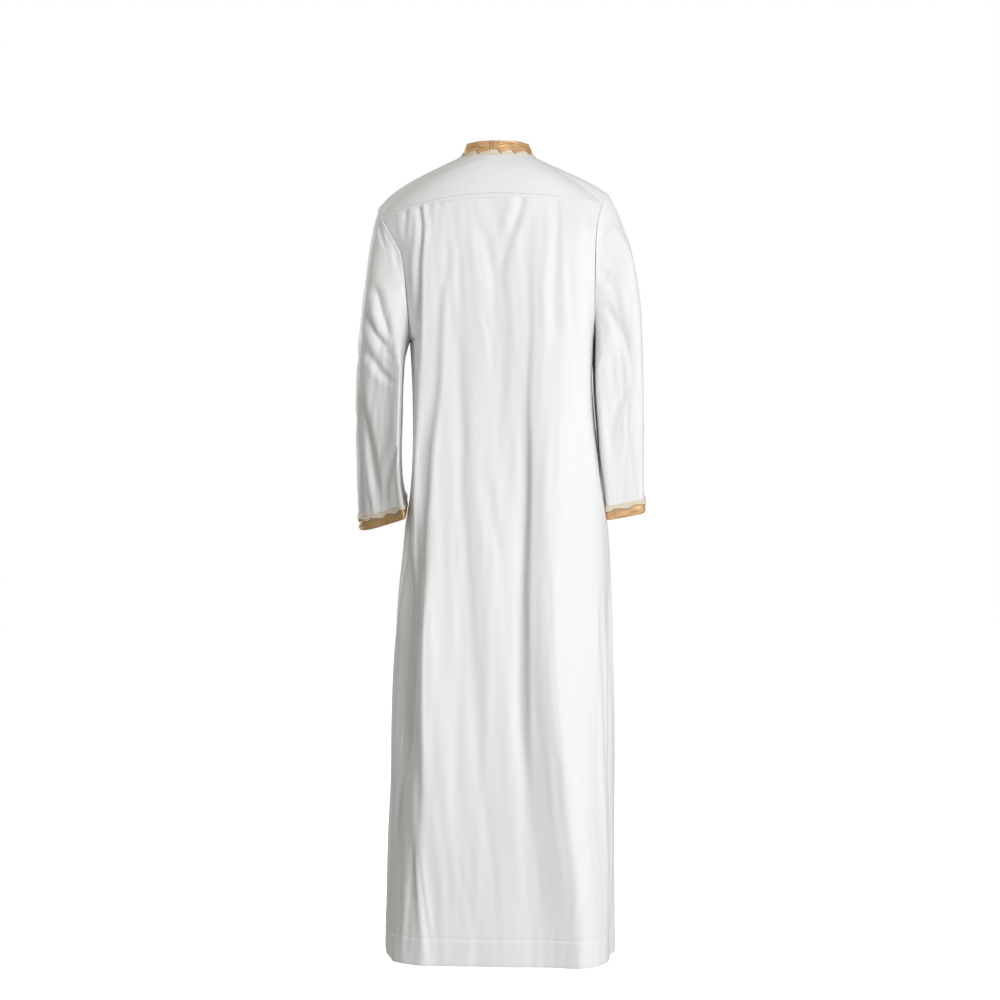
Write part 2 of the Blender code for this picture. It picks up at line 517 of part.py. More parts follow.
def front_half_fractions(side, share):
    """Columns of half the front: even at the underarm (share 0). On the top row (share 1) there is one
    at each point of the yoke's front edge, and the rest go on evenly to the middle."""
    last = 1 - YOKE_TURN_FRONT
    start = UPPER_START_ANGLE * math.sin(min(2 * math.pi * last, math.pi / 2))
    seam = front_seam(side, np.linspace(1, 0, YOKE_ROWS + 1))[:, 0] - NECK_SHIFT
    angles = np.arccos((seam / seam[0]) ** (1 / FLATNESS) * math.cos(start))
    at_seam = (angles - start) / (math.pi / 2 - start)
    at_neck = np.linspace(at_seam[-1], 1, FRONT_NECK_COLUMNS + 1)[1:]
    at_top = np.concatenate([at_seam, at_neck])
    even = np.linspace(0, 1, len(at_top))
    return even + (at_top - even) * ease(share, 0, 1)


def front_top_line(row):
    """The top edge of the front: yoke seam, neckline and yoke seam, for the columns of the top row."""
    share = np.clip((row[:, 0] - NECK_SHIFT) / NECK_HALF_WIDTH, -1, 1)
    line = neck_point(-np.arccos(share))
    shares = np.linspace(1, 0, YOKE_ROWS + 1)
    line[: YOKE_ROWS + 1] = front_seam(1, shares)
    line[-YOKE_ROWS - 1 :] = front_seam(-1, shares)[::-1]
    return line


def split_row(row):
    """A row whose middle point is doubled, so that the neck slit can open between the two."""
    half = len(row) // 2
    beside = np.array([FRONT_OPENING / 2, 0, 0])
    return np.concatenate([row[:half], [row[half] + beside, row[half] - beside], row[half + 1 :]])


def front_grid():
    """The front, rows from hem to the shoulders and neck. Columns from the wearer's left to right."""
    shares = np.linspace(0, 1, UPPER_ROWS + 1)
    fractions = [(front_half_fractions(1, share), front_half_fractions(-1, share)) for share in shares]
    rows = [lower_row(height, True, fractions[0]) for height in lower_heights()]
    shares = shares[1:]
    upper = [upper_row(share, True, columns) for share, columns in zip(shares, fractions[1:])]
    lift = front_top_line(upper[-1]) - upper[-1]
    upper = [row + lift * ease(share, 0.30, 1.0) ** 1.3 for row, share in zip(upper, shares)]
    grid = settle(np.array(rows + upper))
    grid[-2] = below_neck(grid[-1], grid[-2])
    return np.array([split_row(row) for row in grid])


def below_neck(top, row):
    """The row under the neckline, moved so that the cloth leaves the neck seam as the yoke does."""
    inside = slice(YOKE_ROWS, len(row) - YOKE_ROWS)
    neck = top[inside]
    angles = -np.arccos(np.clip((neck[:, 0] - NECK_SHIFT) / NECK_HALF_WIDTH, -1, 1))
    reach = np.linalg.norm(row[inside] - neck, axis=1, keepdims=True)
    from_corner = np.arange(len(neck))
    share = ease(np.minimum(from_corner, from_corner[::-1]), 0, 4)[:, None]
    moved = row.copy()
    moved[inside] += (neck + neck_slope(angles) * reach - row[inside]) * share
    return moved


def yoke_columns():
    """The yoke's outer edge from its left front corner to its right one, with matching neck angles."""
    turns = np.linspace(YOKE_TURN_FRONT, YOKE_TURN_BACK, YOKE_ARMHOLE_COLUMNS + 1)
    seam = upper_row(1.0, False, even_fractions())
    outer = np.concatenate([armhole_point(1, turns), seam[1:-1], armhole_point(-1, turns[::-1])])
    front, corner = YOKE_NECK_ANGLES
    at_armhole = np.linspace(front, corner, YOKE_ARMHOLE_COLUMNS + 1)
    behind = np.linspace(corner, math.pi - corner, len(seam))
    angles = np.concatenate([at_armhole, behind[1:-1], math.pi - at_armhole[::-1]])
    return outer, angles


def yoke_grid():
    """The yoke, rows from its outer edge up to the neck. Columns from left front to right front."""
    outer, angles = yoke_columns()
    shares = np.linspace(1, 0, YOKE_ROWS + 1)
    lines = []
    for end, angle in zip(outer, angles):
        side = 1 if end[0] > 0 else -1
        slopes = neck_slope(angle), shoulder_end_slope(side, angle)
        lines.append(shoulder_line(neck_point(angle), end, *slopes, shares))
    return np.array(lines).transpose(1, 0, 2)


def armhole_turns():
    """Where the rows of the back, the columns of the yoke and the rows of the front meet an armhole."""
    back = np.linspace(0, YOKE_TURN_BACK, UPPER_ROWS + 1)
    over = np.linspace(YOKE_TURN_BACK, YOKE_TURN_FRONT, YOKE_ARMHOLE_COLUMNS + 1)
    front = np.linspace(YOKE_TURN_FRONT, 1, UPPER_ROWS + 1)
    return np.concatenate([back, over[1:], front[1:-1]])


def sleeve_point(side, turn, place):
    """A sleeve's surface: turn as on the armhole, place from 0 at the armhole to 1 at the wrist."""
    rings = SLEEVE_LEFT if side > 0 else SLEEVE_RIGHT
    inner = table_value(rings, "inner", place)
    outer = table_value(rings, "outer", place)
    inner_height = table_value(rings, "inner_height", place)
    outer_height = table_value(rings, "outer_height", place)
    round_angle = 2 * math.pi * np.asarray(turn, float)
    inward, behind = np.cos(round_angle), np.sin(round_angle)
    boxy = (abs(inward) ** SLEEVE_SQUARE + abs(behind) ** SLEEVE_SQUARE) ** (-1 / SLEEVE_SQUARE)
    boxy = 1 + (boxy - 1) * ease(place, 0.0, 0.35)
    inward, behind = inward * boxy, behind * boxy
    x = (inner + outer) / 2 + (inner - outer) / 2 * inward
    y = table_value(rings, "middle", place) + table_value(rings, "half_depth", place) * behind
    z = (inner_height + outer_height) / 2 + (inner_height - outer_height) / 2 * inward
    z = z - table_value(rings, "pitch", place) * behind
    y = y + ELBOW_TURN[side] * ease(place, 0.05, 0.50) * (outer - inner) / 2 * inward
    points = np.stack([side * x, y, z], axis=-1)
    first = rings[0]
    flat_edge = (first.inner + first.outer) / 2 + (first.inner - first.outer) / 2 * np.cos(round_angle)
    bow = armhole_point(side, turn)[..., 0] - side * flat_edge
    points[..., 0] += bow * (1 - ease(place, 0.0, 0.22))
    return points


def sleeve_places():
    """Rows from the wrist up: the edge, the top of the gold band, then even steps."""
    rest = np.linspace(BAND_TOP, 0, SLEEVE_ROWS)
    return np.concatenate([[1.0], rest])


def sleeve_grid(side):
    """A sleeve, rows from the wrist to the armhole. Its columns run to the right seen from outside."""
    turns = armhole_turns()
    turns = turns if side < 0 else turns[::-1]
    return np.array([sleeve_point(side, turns, place) for place in sleeve_places()])


# ---------------------------------------------------------------- from grids to solids
def pull_back(grid, low_rows=0.0, high_rows=0.0, low_columns=0.0, high_columns=0.0):
    """Moves the edges of a grid inwards, to leave room for the seams."""
    grid = grid.copy()
    grid[0] += low_rows * unit(grid[1] - grid[0])
    grid[-1] += high_rows * unit(grid[-2] - grid[-1])
    grid[:, 0] += low_columns * unit(grid[:, 1] - grid[:, 0])
    grid[:, -1] += high_columns * unit(grid[:, -2] - grid[:, -1])
    return grid


def wall_mesh(name, outer, inner, colour, closed=False, keep=None):
    """A closed wall between two grids of points, with rims wherever the kept faces end."""
    rows, columns = outer.shape[:2]
    spans = columns if closed else columns - 1
    keep = np.ones((rows - 1, spans), bool) if keep is None else keep
    index = np.arange(rows * columns).reshape(rows, columns)
    behind = rows * columns
    faces = []
    edges = {}
    for r in range(rows - 1):
        for c in range(spans):
            if not keep[r, c]:
                continue
            n = (c + 1) % columns
            corners = [index[r, c], index[r, n], index[r + 1, n], index[r + 1, c]]
            faces.append(corners)
            faces.append([corner + behind for corner in reversed(corners)])
            for a, b in zip(corners, corners[1:] + corners[:1]):
                if edges.pop((b, a), None) is None:
                    edges[(a, b)] = True
    faces += [[b, a, a + behind, b + behind] for a, b in edges]
    points = np.concatenate([outer.reshape(-1, 3), inner.reshape(-1, 3)])
    points = points - np.array([0, 0, NECK_HEIGHT])
    used = sorted({corner for face in faces for corner in face})
    renumber = {old: new for new, old in enumerate(used)}
    mesh = bpy.data.meshes.new(name)
    mesh.from_pydata(points[used].tolist(), [], [[renumber[c] for c in face] for face in faces])
    mesh.shade_smooth()
    mesh.set_sharp_from_angle(angle=math.radians(50))
    mesh.materials.append(material(colour))
    obj = bpy.data.objects.new(name, mesh)
    bpy.context.scene.collection.objects.link(obj)
    return obj


def material(colour):
    """A plain material for each colour: white satin, gold cloth or ivory braid."""
    name, roughness, metallic = {
        WHITE: ("white_satin", 0.45, 0.0),
        GOLD: ("gold_cloth", 0.40, 0.2),
        IVORY: ("ivory_braid", 0.60, 0.0),
    }[colour]
    found = bpy.data.materials.get(name)
    if found:
        return found
    made = bpy.data.materials.new(name)
    made.use_nodes = True
    shader = made.node_tree.nodes["Principled BSDF"]
    shader.inputs["Base Color"].default_value = colour
    shader.inputs["Roughness"].default_value = roughness
    shader.inputs["Metallic"].default_value = metallic
    return made


def edge_fade(grid, armhole_rows=0, top=False):
    """1 inside a panel, falling to 0 at its armholes and its top seam, where folds are sewn flat."""
    rows, columns = grid.shape[:2]
    fade = np.ones((rows, columns))
    if top:
        fade[-1] = 0.0
        fade[-2] = 0.7
    if armhole_rows:
        for column, share in ((0, 0.0), (1, 0.6), (-1, 0.0), (-2, 0.6)):
            fade[-armhole_rows:, column] *= share
    return fade


def seam_normals(own, other):
    """Where two panels meet edge to edge, both use this one direction."""
    return unit(own + other)


def armhole_rim(own, other):
    """A panel's direction at the armhole: shared on the shoulder, its own where the arm hangs down."""
    shared = ease(np.sum(own * other, axis=-1), -0.3, 0.3)[..., None]
    return unit(own * (1 - shared) + unit(own + other) * shared)


def body_walls():
    """Grids and normals of the back, the front and the yoke, with their folds and shared seams."""
    back, front, yoke = back_grid(), front_grid(), yoke_grid()
    lower = len(lower_heights())
    normals = {"back": grid_normals(back), "yoke": grid_normals(yoke)}
    normals["front"] = grid_normals(front[:, ::-1])[:, ::-1]
    share_side_seams(normals, lower)
    back = back + normals["back"] * (
        fold_offset(back, normals["back"], BACK_FOLDS + FRONT_FOLDS)
        * edge_fade(back, len(back) - lower, True)
    )[..., None]
    front = front + normals["front"] * (
        fold_offset(front, normals["front"], BACK_FOLDS + FRONT_FOLDS)
        * edge_fade(front, len(front) - lower, True)
    )[..., None]
    normals["back"] = grid_normals(back)
    normals["front"] = grid_normals(front[:, ::-1])[:, ::-1]
    share_side_seams(normals, lower)
    first, last = YOKE_ARMHOLE_COLUMNS, YOKE_ARMHOLE_COLUMNS + 2 * BACK_HALF_COLUMNS
    along = seam_normals(normals["back"][-1], normals["yoke"][0, first : last + 1])
    normals["back"][-1] = along
    normals["yoke"][0, first : last + 1] = along
    share_front_seams(normals)
    return {"back": back, "front": front, "yoke": yoke}, normals


def share_front_seams(normals):
    """Gives the yoke and the front one direction along each front yoke seam."""
    front, yoke = normals["front"][-1], normals["yoke"]
    count = YOKE_ROWS + 1
    left = seam_normals(front[:count], yoke[:, 0])
    right = seam_normals(front[-count:], yoke[::-1, -1])
    front[:count], yoke[:, 0] = left, left
    front[-count:], yoke[:, -1] = right, right[::-1]


def share_side_seams(normals, lower):
    """Gives the back and the front one direction along each side seam."""
    for column in (0, -1):
        both = seam_normals(normals["back"][:lower, column], normals["front"][:lower, column])
        normals["back"][:lower, column] = both
        normals["front"][:lower, column] = both


def armhole_normals(normals, side):
    """Normals of the back, yoke and front along an armhole, in the order of armhole_turns."""
    column = 0 if side > 0 else -1
    lower = len(lower_heights())
    back = normals["back"][lower - 1 :, column]
    yoke = normals["yoke"][0]
    over = yoke[: YOKE_ARMHOLE_COLUMNS + 1][::-1] if side > 0 else yoke[-YOKE_ARMHOLE_COLUMNS - 1 :]
    front = normals["front"][lower - 1 :, column][::-1]
    return np.concatenate([back, over[1:-1], front[:-1]])


def set_armhole_normals(normals, side, values):
    """The reverse of armhole_normals."""
    column = 0 if side > 0 else -1
    lower = len(lower_heights())
    rows = UPPER_ROWS + 1
    normals["back"][lower - 1 :, column] = values[:rows]
    over = values[rows - 1 : rows + YOKE_ARMHOLE_COLUMNS]
    if side > 0:
        normals["yoke"][0, : YOKE_ARMHOLE_COLUMNS + 1] = over[::-1]
    else:
        normals["yoke"][0, -YOKE_ARMHOLE_COLUMNS - 1 :] = over
    front = np.concatenate([values[rows + YOKE_ARMHOLE_COLUMNS - 1 :], values[:1]])
    normals["front"][lower - 1 :, column] = front[::-1]


def sleeve_walls(side, normals):
    """The grid and normals of a sleeve. It also sets the body's normals along the armhole."""
    grid = sleeve_grid(side)
    own = grid_normals(grid, closed=True)
    folds = SLEEVE_LEFT_FOLDS if side > 0 else SLEEVE_RIGHT_FOLDS
    fade = np.ones(grid.shape[:2])
    fade[-1], fade[-2] = 0.0, 0.6
    fade[:2] = 0.0
    grid = grid + own * (fold_offset(grid, own, folds) * fade)[..., None]
    own = grid_normals(grid, closed=True)
    at_hole = armhole_normals(normals, side)
    ring = own[-1] if side < 0 else own[-1, ::-1]
    sleeve_rim, body_rim = armhole_rim(ring, at_hole), armhole_rim(at_hole, ring)
    own[-1] = sleeve_rim if side < 0 else sleeve_rim[::-1]
    set_armhole_normals(normals, side, body_rim)
    return grid, own


def hem_walls(grid, normals):
    """The inside of a long panel: one thickness of cloth, and two where the hem is turned up."""
    depth = np.full(len(grid), CLOTH)
    depth[:2] = 2 * CLOTH
    return grid - normals * depth[:, None, None]


# ---------------------------------------------------------------- the pieces
def make_back(grids, normals):
    gap = SEAM_GAP / 2
    outer = pull_back(grids["back"], 0, gap, gap, gap)
    return wall_mesh("back_panel", outer, hem_walls(outer, normals["back"]), WHITE)


def make_front(grids, normals):
    gap = SEAM_GAP / 2
    outer = pull_back(grids["front"], 0, gap, gap, gap)[:, ::-1]
    facing = normals["front"][:, ::-1]
    middle = outer.shape[1] // 2 - 1
    keep = np.ones((len(outer) - 1, outer.shape[1] - 1), bool)
    heights = outer[:-1, middle, 2]
    keep[heights > NECK_HEIGHT - NECK_DROP - SLIT_LENGTH, middle] = False
    return wall_mesh("front_panel", outer, hem_walls(outer, facing), WHITE, keep=keep)


def make_yoke(grids, normals):
    gap = SEAM_GAP / 2
    outer = pull_back(grids["yoke"], gap, gap, gap, gap)
    inner = outer - normals["yoke"] * CLOTH
    return wall_mesh("back_yoke", outer, inner, WHITE)


def make_placket(grids, normals):
    """A plain strip over the neck slit, laid on the front panel's own points."""
    front, facing = grids["front"], normals["front"]
    lowest = NECK_HEIGHT - NECK_DROP - PLACKET_LENGTH
    spots = np.linspace(-PLACKET_HALF_WIDTH, PLACKET_HALF_WIDTH, 7)
    outer, inner = [], []
    for row, normal in zip(front, facing):
        middle = len(row) // 2
        if row[middle, 2] < lowest:
            continue
        x = row[::-1, 0]
        centre = (row[middle - 1, 0] + row[middle, 0]) / 2
        across = centre + spots
        point = np.stack([np.interp(across, x, row[::-1, axis]) for axis in range(3)], axis=-1)
        away = unit(np.stack([np.interp(across, x, normal[::-1, axis]) for axis in range(3)], axis=-1))
        inner.append(point + away * LAID_ON)
        outer.append(point + away * (LAID_ON + BRAID))
    outer, inner = np.array(outer), np.array(inner)
    shorten = (BRAID_ON_CLOTH + 2 * BRAID) * unit(outer[-2] - outer[-1])
    outer[-1] += shorten
    inner[-1] += shorten
    return wall_mesh("placket", outer, inner, WHITE)


def collar_row(angles, rise):
    """A level of the collar: rise 0 at the neck seam and 1 at the top, leaning in as it goes up."""
    side, behind = np.cos(angles), np.sin(angles)
    lean = np.where(behind > 0, COLLAR_LEAN_BACK, COLLAR_LEAN_FRONT) * behind**2
    lean = lean + COLLAR_LEAN_SIDE * side**2
    inward = np.stack([-side, -behind, np.zeros_like(angles)], axis=-1)
    up = np.array([0, 0, COLLAR_HEIGHT * rise])
    return neck_point(angles) + inward * (lean * rise)[:, None] + up


def make_collar(name, first, last):
    """Half of the stand collar, between two angles round the neck."""
    angles = np.linspace(first, last, COLLAR_COLUMNS + 1)
    step = angles[1] - angles[0]
    wider = np.concatenate([[first - step], angles, [last + step]])
    levels = np.array([collar_row(wider, rise) for rise in (0.0, 0.5, 0.96, 1.0)])
    normals = grid_normals(levels)[:, 1:-1]
    grid = pull_back(levels[:, 1:-1], SEAM_GAP, 0, SEAM_GAP / 2, SEAM_GAP / 2)
    inner = grid - normals * STIFF_CLOTH
    inner[0, :, 2] = grid[0, :, 2]
    return wall_mesh(name, grid, inner, GOLD)


def wave(turns):
    """The scalloped edge of the braid: 0 where two scallops meet and 1 at a crest."""
    return np.abs(np.sin(math.pi * turns)) ** 0.8


def scallop_columns(length):
    """Even places along a braid of this length, 0 to 1, and the height of its scallops there."""
    waves = round(length / BRAID_WAVE)
    shares = np.linspace(0, 1, waves * BRAID_STEPS + 1)
    return shares, BRAID_LOW + (BRAID_HIGH - BRAID_LOW) * wave(shares * waves)


def make_collar_braid():
    """The braid lies on the yoke and turns up against the foot of the collar."""
    first, last = math.radians(-88.5), math.radians(268.5)
    fine = neck_point(np.linspace(first, last, 200))
    steps = np.concatenate([[0], np.cumsum(np.linalg.norm(np.diff(fine, axis=0), axis=1))])
    shares, crests = scallop_columns(steps[-1])
    angles = np.interp(shares * steps[-1], steps, np.linspace(first, last, 200))
    neck, slope = neck_point(angles), neck_slope(angles)
    along = unit(np.gradient(neck, axis=0))
    on_yoke = unit(np.cross(along, -slope))
    up = unit(collar_row(angles, 1.0) - neck)
    on_collar = unit(np.cross(along, up))
    corner = unit(on_yoke + on_collar)
    widen = 1 / np.sum(corner * on_yoke, axis=-1, keepdims=True)

    def layer(away):
        low = neck + slope * BRAID_ON_CLOTH + on_yoke * away
        bend = neck + corner * away * widen
        high = neck + up * (crests[:, None] + away) + on_collar * away
        return np.array([low, bend, high])

    return wall_mesh("collar_braid", layer(LAID_ON + BRAID), layer(LAID_ON), IVORY)


def finer_ring(values, steps):
    """A closed ring of points with steps points between each pair, on the straight lines between."""
    closed = np.concatenate([values, values[:1]])
    shares = np.linspace(0, len(values), len(values) * steps + 1)[:-1]
    return np.stack([np.interp(shares, np.arange(len(closed)), closed[:, a]) for a in range(3)], axis=-1)


def make_cuff(side, grid, normals):
    """The gold band on the end of a sleeve, and the braid over its top edge."""
    name = "left" if side > 0 else "right"
    low, high = grid[0], grid[1]
    away = unit(normals[:2])
    rows = np.array([low, low * 0.02 + high * 0.98])
    inner = rows + away * LAID_ON
    wall_mesh(f"cuff_band_{name}", inner + away * BRAID, inner, GOLD, closed=True)

    ring = [finer_ring(values, CUFF_STEPS) for values in grid[:3]]
    facing = unit(finer_ring(away[1], CUFF_STEPS))
    lengths = np.linalg.norm(np.diff(ring[1], axis=0, append=ring[1][:1]), axis=1)
    places = np.concatenate([[0], np.cumsum(lengths)])[:-1] / lengths.sum()
    waves = round(lengths.sum() / CUFF_WAVE)
    crests = BRAID_LOW + (BRAID_HIGH - BRAID_LOW) * wave(places * waves)
    down = unit(ring[0] - ring[1])
    above = unit(ring[2] - ring[1])
    over_band = LAID_ON * 2 + BRAID

    def layer(extra):
        top = ring[1] + above * BRAID_ON_CLOTH + facing * (LAID_ON + extra)
        edge = ring[1] + above * LAID_ON * 2 + facing * (over_band + extra)
        foot = ring[1] + down * crests[:, None] + facing * (over_band + extra)
        return np.array([foot, edge, top])

    wall_mesh(f"cuff_braid_{name}", layer(BRAID), layer(0.0), IVORY, closed=True)


def make_sleeve(side, grid, normals):
    name = "left" if side > 0 else "right"
    outer = pull_back(grid, 0, SEAM_GAP / 2)
    inner = outer - normals * CLOTH
    wall_mesh(f"sleeve_{name}", outer, inner, WHITE, closed=True)
    make_cuff(side, outer, normals)


def clear_scene():
    for obj in list(bpy.data.objects):
        bpy.data.objects.remove(obj)


def build():
    clear_scene()
    grids, normals = body_walls()
    sleeves = {side: sleeve_walls(side, normals) for side in (1, -1)}
    make_back(grids, normals)
    make_front(grids, normals)
    make_yoke(grids, normals)
    make_placket(grids, normals)
    make_collar("collar_left", math.radians(-90) + 0.008, COLLAR_SEAM_ANGLE)
    make_collar("collar_right", COLLAR_SEAM_ANGLE, math.radians(270) - 0.008)
    make_collar_braid()
    for side, (grid, facing) in sleeves.items():
        make_sleeve(side, grid, facing)


build()
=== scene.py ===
# %% [markdown]
# # A white thobe with a gold collar
# A thobe is an ankle-length robe. This one is white satin with a woven gold stand collar, gold cuffs
# and an ivory scalloped braid. It is shown as it is worn, with nobody in it, and we look at its back.
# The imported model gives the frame: one rigid wall for each piece of the cut. Here each of those walls
# gets its real cloth, on the same lines of the pattern but with hundreds of rows instead of dozens.

import math
from collections import namedtuple

import bpy
import mathutils
import numpy as np
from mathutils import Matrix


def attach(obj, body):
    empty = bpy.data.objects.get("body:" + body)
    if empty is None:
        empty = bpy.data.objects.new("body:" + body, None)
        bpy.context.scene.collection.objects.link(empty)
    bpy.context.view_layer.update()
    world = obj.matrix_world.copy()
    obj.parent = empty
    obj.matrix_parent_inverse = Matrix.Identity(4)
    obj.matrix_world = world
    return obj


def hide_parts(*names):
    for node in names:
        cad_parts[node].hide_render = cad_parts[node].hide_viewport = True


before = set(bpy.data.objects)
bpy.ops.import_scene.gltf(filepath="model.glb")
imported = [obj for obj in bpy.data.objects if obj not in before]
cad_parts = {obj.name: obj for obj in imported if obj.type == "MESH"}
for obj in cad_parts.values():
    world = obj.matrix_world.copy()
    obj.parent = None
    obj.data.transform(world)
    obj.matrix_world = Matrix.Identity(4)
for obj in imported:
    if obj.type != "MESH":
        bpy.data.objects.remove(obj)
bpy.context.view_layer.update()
print("nodes:", ", ".join(sorted(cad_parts)))

# %% [markdown]
# ## The sizes of the cut
# A dressmaker marks heights up from the hem, so the tables do too. The model hangs from the neck,
# so the heights are shifted to it when a mesh is made. All sizes are in metres.

# %% Sizes of the robe
NECK_HEIGHT = 1.503
UNDERARM_HEIGHT = 1.157
CLOTH = 0.0008
HEM_DEPTH = 0.050
SEAM_GAP = 0.0003
LAID_ON = 0.0003

NECK_HALF_WIDTH = 0.0694
NECK_SHIFT = 0.0047
NECK_BACK = 0.060
NECK_FRONT = 0.080
NECK_DROP = 0.062

COLLAR_HEIGHT = 0.025
COLLAR_CLOTH = 0.0018
COLLAR_LEAN_SIDE = 0.011
COLLAR_LEAN_BACK = 0.006
COLLAR_LEAN_FRONT = 0.004
COLLAR_SEAM_ANGLE = math.radians(83)
FRONT_OPENING = 0.0012

YOKE_CENTRE_HEIGHT = 1.4217
YOKE_CENTRE_DEPTH = 0.112
YOKE_TURN_BACK = 0.405
YOKE_TURN_FRONT = 0.590
YOKE_NECK_ANGLES = (math.radians(-26), math.radians(24))
UPPER_START_ANGLE = math.radians(42)

SLIT_LENGTH = 0.30
PLACKET_HALF_WIDTH = 0.019
PLACKET_LENGTH = 0.33
BAND_TOP = 0.95

# %% Shape of the body and the armholes
Oval = namedtuple("Oval", "height left right back front seam")
BODY = (
    Oval(0.000, 0.2160, 0.2165, 0.190, 0.186, 10),
    Oval(0.130, 0.2135, 0.2160, 0.187, 0.180, 14),
    Oval(0.300, 0.2070, 0.2150, 0.177, 0.170, 20),
    Oval(0.470, 0.1995, 0.2140, 0.165, 0.160, 24),
    Oval(0.570, 0.1955, 0.2115, 0.158, 0.154, 26),
    Oval(0.660, 0.1900, 0.2105, 0.151, 0.149, 27),
    Oval(0.740, 0.1830, 0.2090, 0.145, 0.145, 25),
    Oval(0.800, 0.1785, 0.2050, 0.141, 0.143, 22),
    Oval(0.853, 0.1710, 0.1975, 0.137, 0.141, 18),
    Oval(0.930, 0.1665, 0.1880, 0.130, 0.139, 12),
    Oval(1.005, 0.1655, 0.1800, 0.125, 0.137, 7),
    Oval(1.080, 0.1670, 0.1752, 0.123, 0.135, 3),
    Oval(1.157, 0.1715, 0.1786, 0.125, 0.133, 0),
)
Edge = namedtuple("Edge", "height across")
ARMHOLE_LEFT = (
    Edge(1.157, 0.1715), Edge(1.200, 0.1725), Edge(1.240, 0.1755), Edge(1.280, 0.1795),
    Edge(1.320, 0.1880), Edge(1.350, 0.2050), Edge(1.380, 0.2210), Edge(1.407, 0.2300),
)
ARMHOLE_RIGHT = (
    Edge(1.157, 0.1786), Edge(1.240, 0.1780), Edge(1.310, 0.1785), Edge(1.360, 0.1815),
    Edge(1.395, 0.1880), Edge(1.418, 0.1970), Edge(1.4325, 0.2060),
)
ARMHOLE_HALF_DEPTH = 0.082
ARMHOLE_FRONT_SCOOP = 0.008
FLATNESS = 0.84
Centre = namedtuple("Centre", "height depth")
CENTRE_BACK = (
    Centre(1.157, 0.1250), Centre(1.220, 0.1275), Centre(1.280, 0.1280),
    Centre(1.350, 0.1235), Centre(YOKE_CENTRE_HEIGHT, YOKE_CENTRE_DEPTH),
)
CENTRE_FRONT = (
    Centre(1.157, 0.1330), Centre(1.240, 0.1320), Centre(1.320, 0.1240),
    Centre(1.380, 0.1080), Centre(NECK_HEIGHT - NECK_DROP, NECK_FRONT),
)

# %% Shape of the sleeves
Ring = namedtuple("Ring", "place inner inner_height outer outer_height middle half_depth pitch")
SLEEVE_LEFT = (
    Ring(0.00, 0.1715, 1.157, 0.2300, 1.407, 0.000, 0.082, 0.000),
    Ring(0.07, 0.1770, 1.140, 0.2395, 1.370, -0.001, 0.084, 0.000),
    Ring(0.15, 0.1815, 1.118, 0.2480, 1.322, -0.002, 0.085, 0.000),
    Ring(0.24, 0.1835, 1.092, 0.2560, 1.266, -0.004, 0.086, 0.002),
    Ring(0.34, 0.1850, 1.060, 0.2635, 1.200, -0.006, 0.086, 0.004),
    Ring(0.44, 0.1860, 1.026, 0.2700, 1.134, -0.008, 0.085, 0.005),
    Ring(0.54, 0.1870, 0.992, 0.2738, 1.068, -0.010, 0.083, 0.006),
    Ring(0.64, 0.1880, 0.955, 0.2746, 1.002, -0.014, 0.080, 0.008),
    Ring(0.74, 0.1880, 0.920, 0.2745, 0.940, -0.020, 0.076, 0.010),
    Ring(0.84, 0.1860, 0.886, 0.2735, 0.882, -0.028, 0.071, 0.012),
    Ring(0.95, 0.1805, 0.852, 0.2710, 0.826, -0.037, 0.066, 0.014),
    Ring(1.00, 0.1775, 0.831, 0.2698, 0.803, -0.041, 0.064, 0.014),
)
SLEEVE_RIGHT = (
    Ring(0.00, 0.1786, 1.157, 0.2060, 1.4325, 0.000, 0.082, 0.000),
    Ring(0.07, 0.1785, 1.138, 0.2235, 1.398, -0.001, 0.084, 0.000),
    Ring(0.15, 0.1780, 1.114, 0.2405, 1.352, -0.002, 0.085, 0.000),
    Ring(0.24, 0.1785, 1.088, 0.2525, 1.298, -0.004, 0.086, 0.002),
    Ring(0.34, 0.1795, 1.058, 0.2625, 1.234, -0.006, 0.086, 0.004),
    Ring(0.44, 0.1815, 1.026, 0.2670, 1.168, -0.008, 0.085, 0.005),
    Ring(0.54, 0.1845, 0.990, 0.2695, 1.102, -0.010, 0.083, 0.006),
    Ring(0.64, 0.1870, 0.954, 0.2712, 1.036, -0.014, 0.080, 0.008),
    Ring(0.74, 0.1912, 0.920, 0.2718, 0.972, -0.020, 0.076, 0.010),
    Ring(0.84, 0.1963, 0.886, 0.2722, 0.916, -0.028, 0.071, 0.011),
    Ring(0.95, 0.2005, 0.848, 0.2740, 0.862, -0.036, 0.066, 0.012),
    Ring(1.00, 0.2020, 0.826, 0.2752, 0.840, -0.040, 0.064, 0.012),
)
print("the robe is", NECK_HEIGHT, "m from its back neck to its hem")

# %% [markdown]
# ## The folds
# Satin falls in long soft folds. They could come from a cloth simulation, but a simulation chooses
# its own folds, and this robe's are part of its look. So each fold is one row of a table: the face of
# the robe it lies on, its width, which side of it is steeper (lean), its depth, how strong it is at
# each end, and the line that it follows, as (across, height) points. The wide ones come first and
# give the drape. The narrow ones are the pleats under the yoke, the drag lines and the creases.

# %% Wide folds, the drape
Fold = namedtuple("Fold", "face width lean depth start end path")


def folds(face, *rows):
    """Folds on one face. A row is the width, lean, depth, strength at both ends, then the path."""
    return tuple(Fold(face, *row[:5], row[5:]) for row in rows)


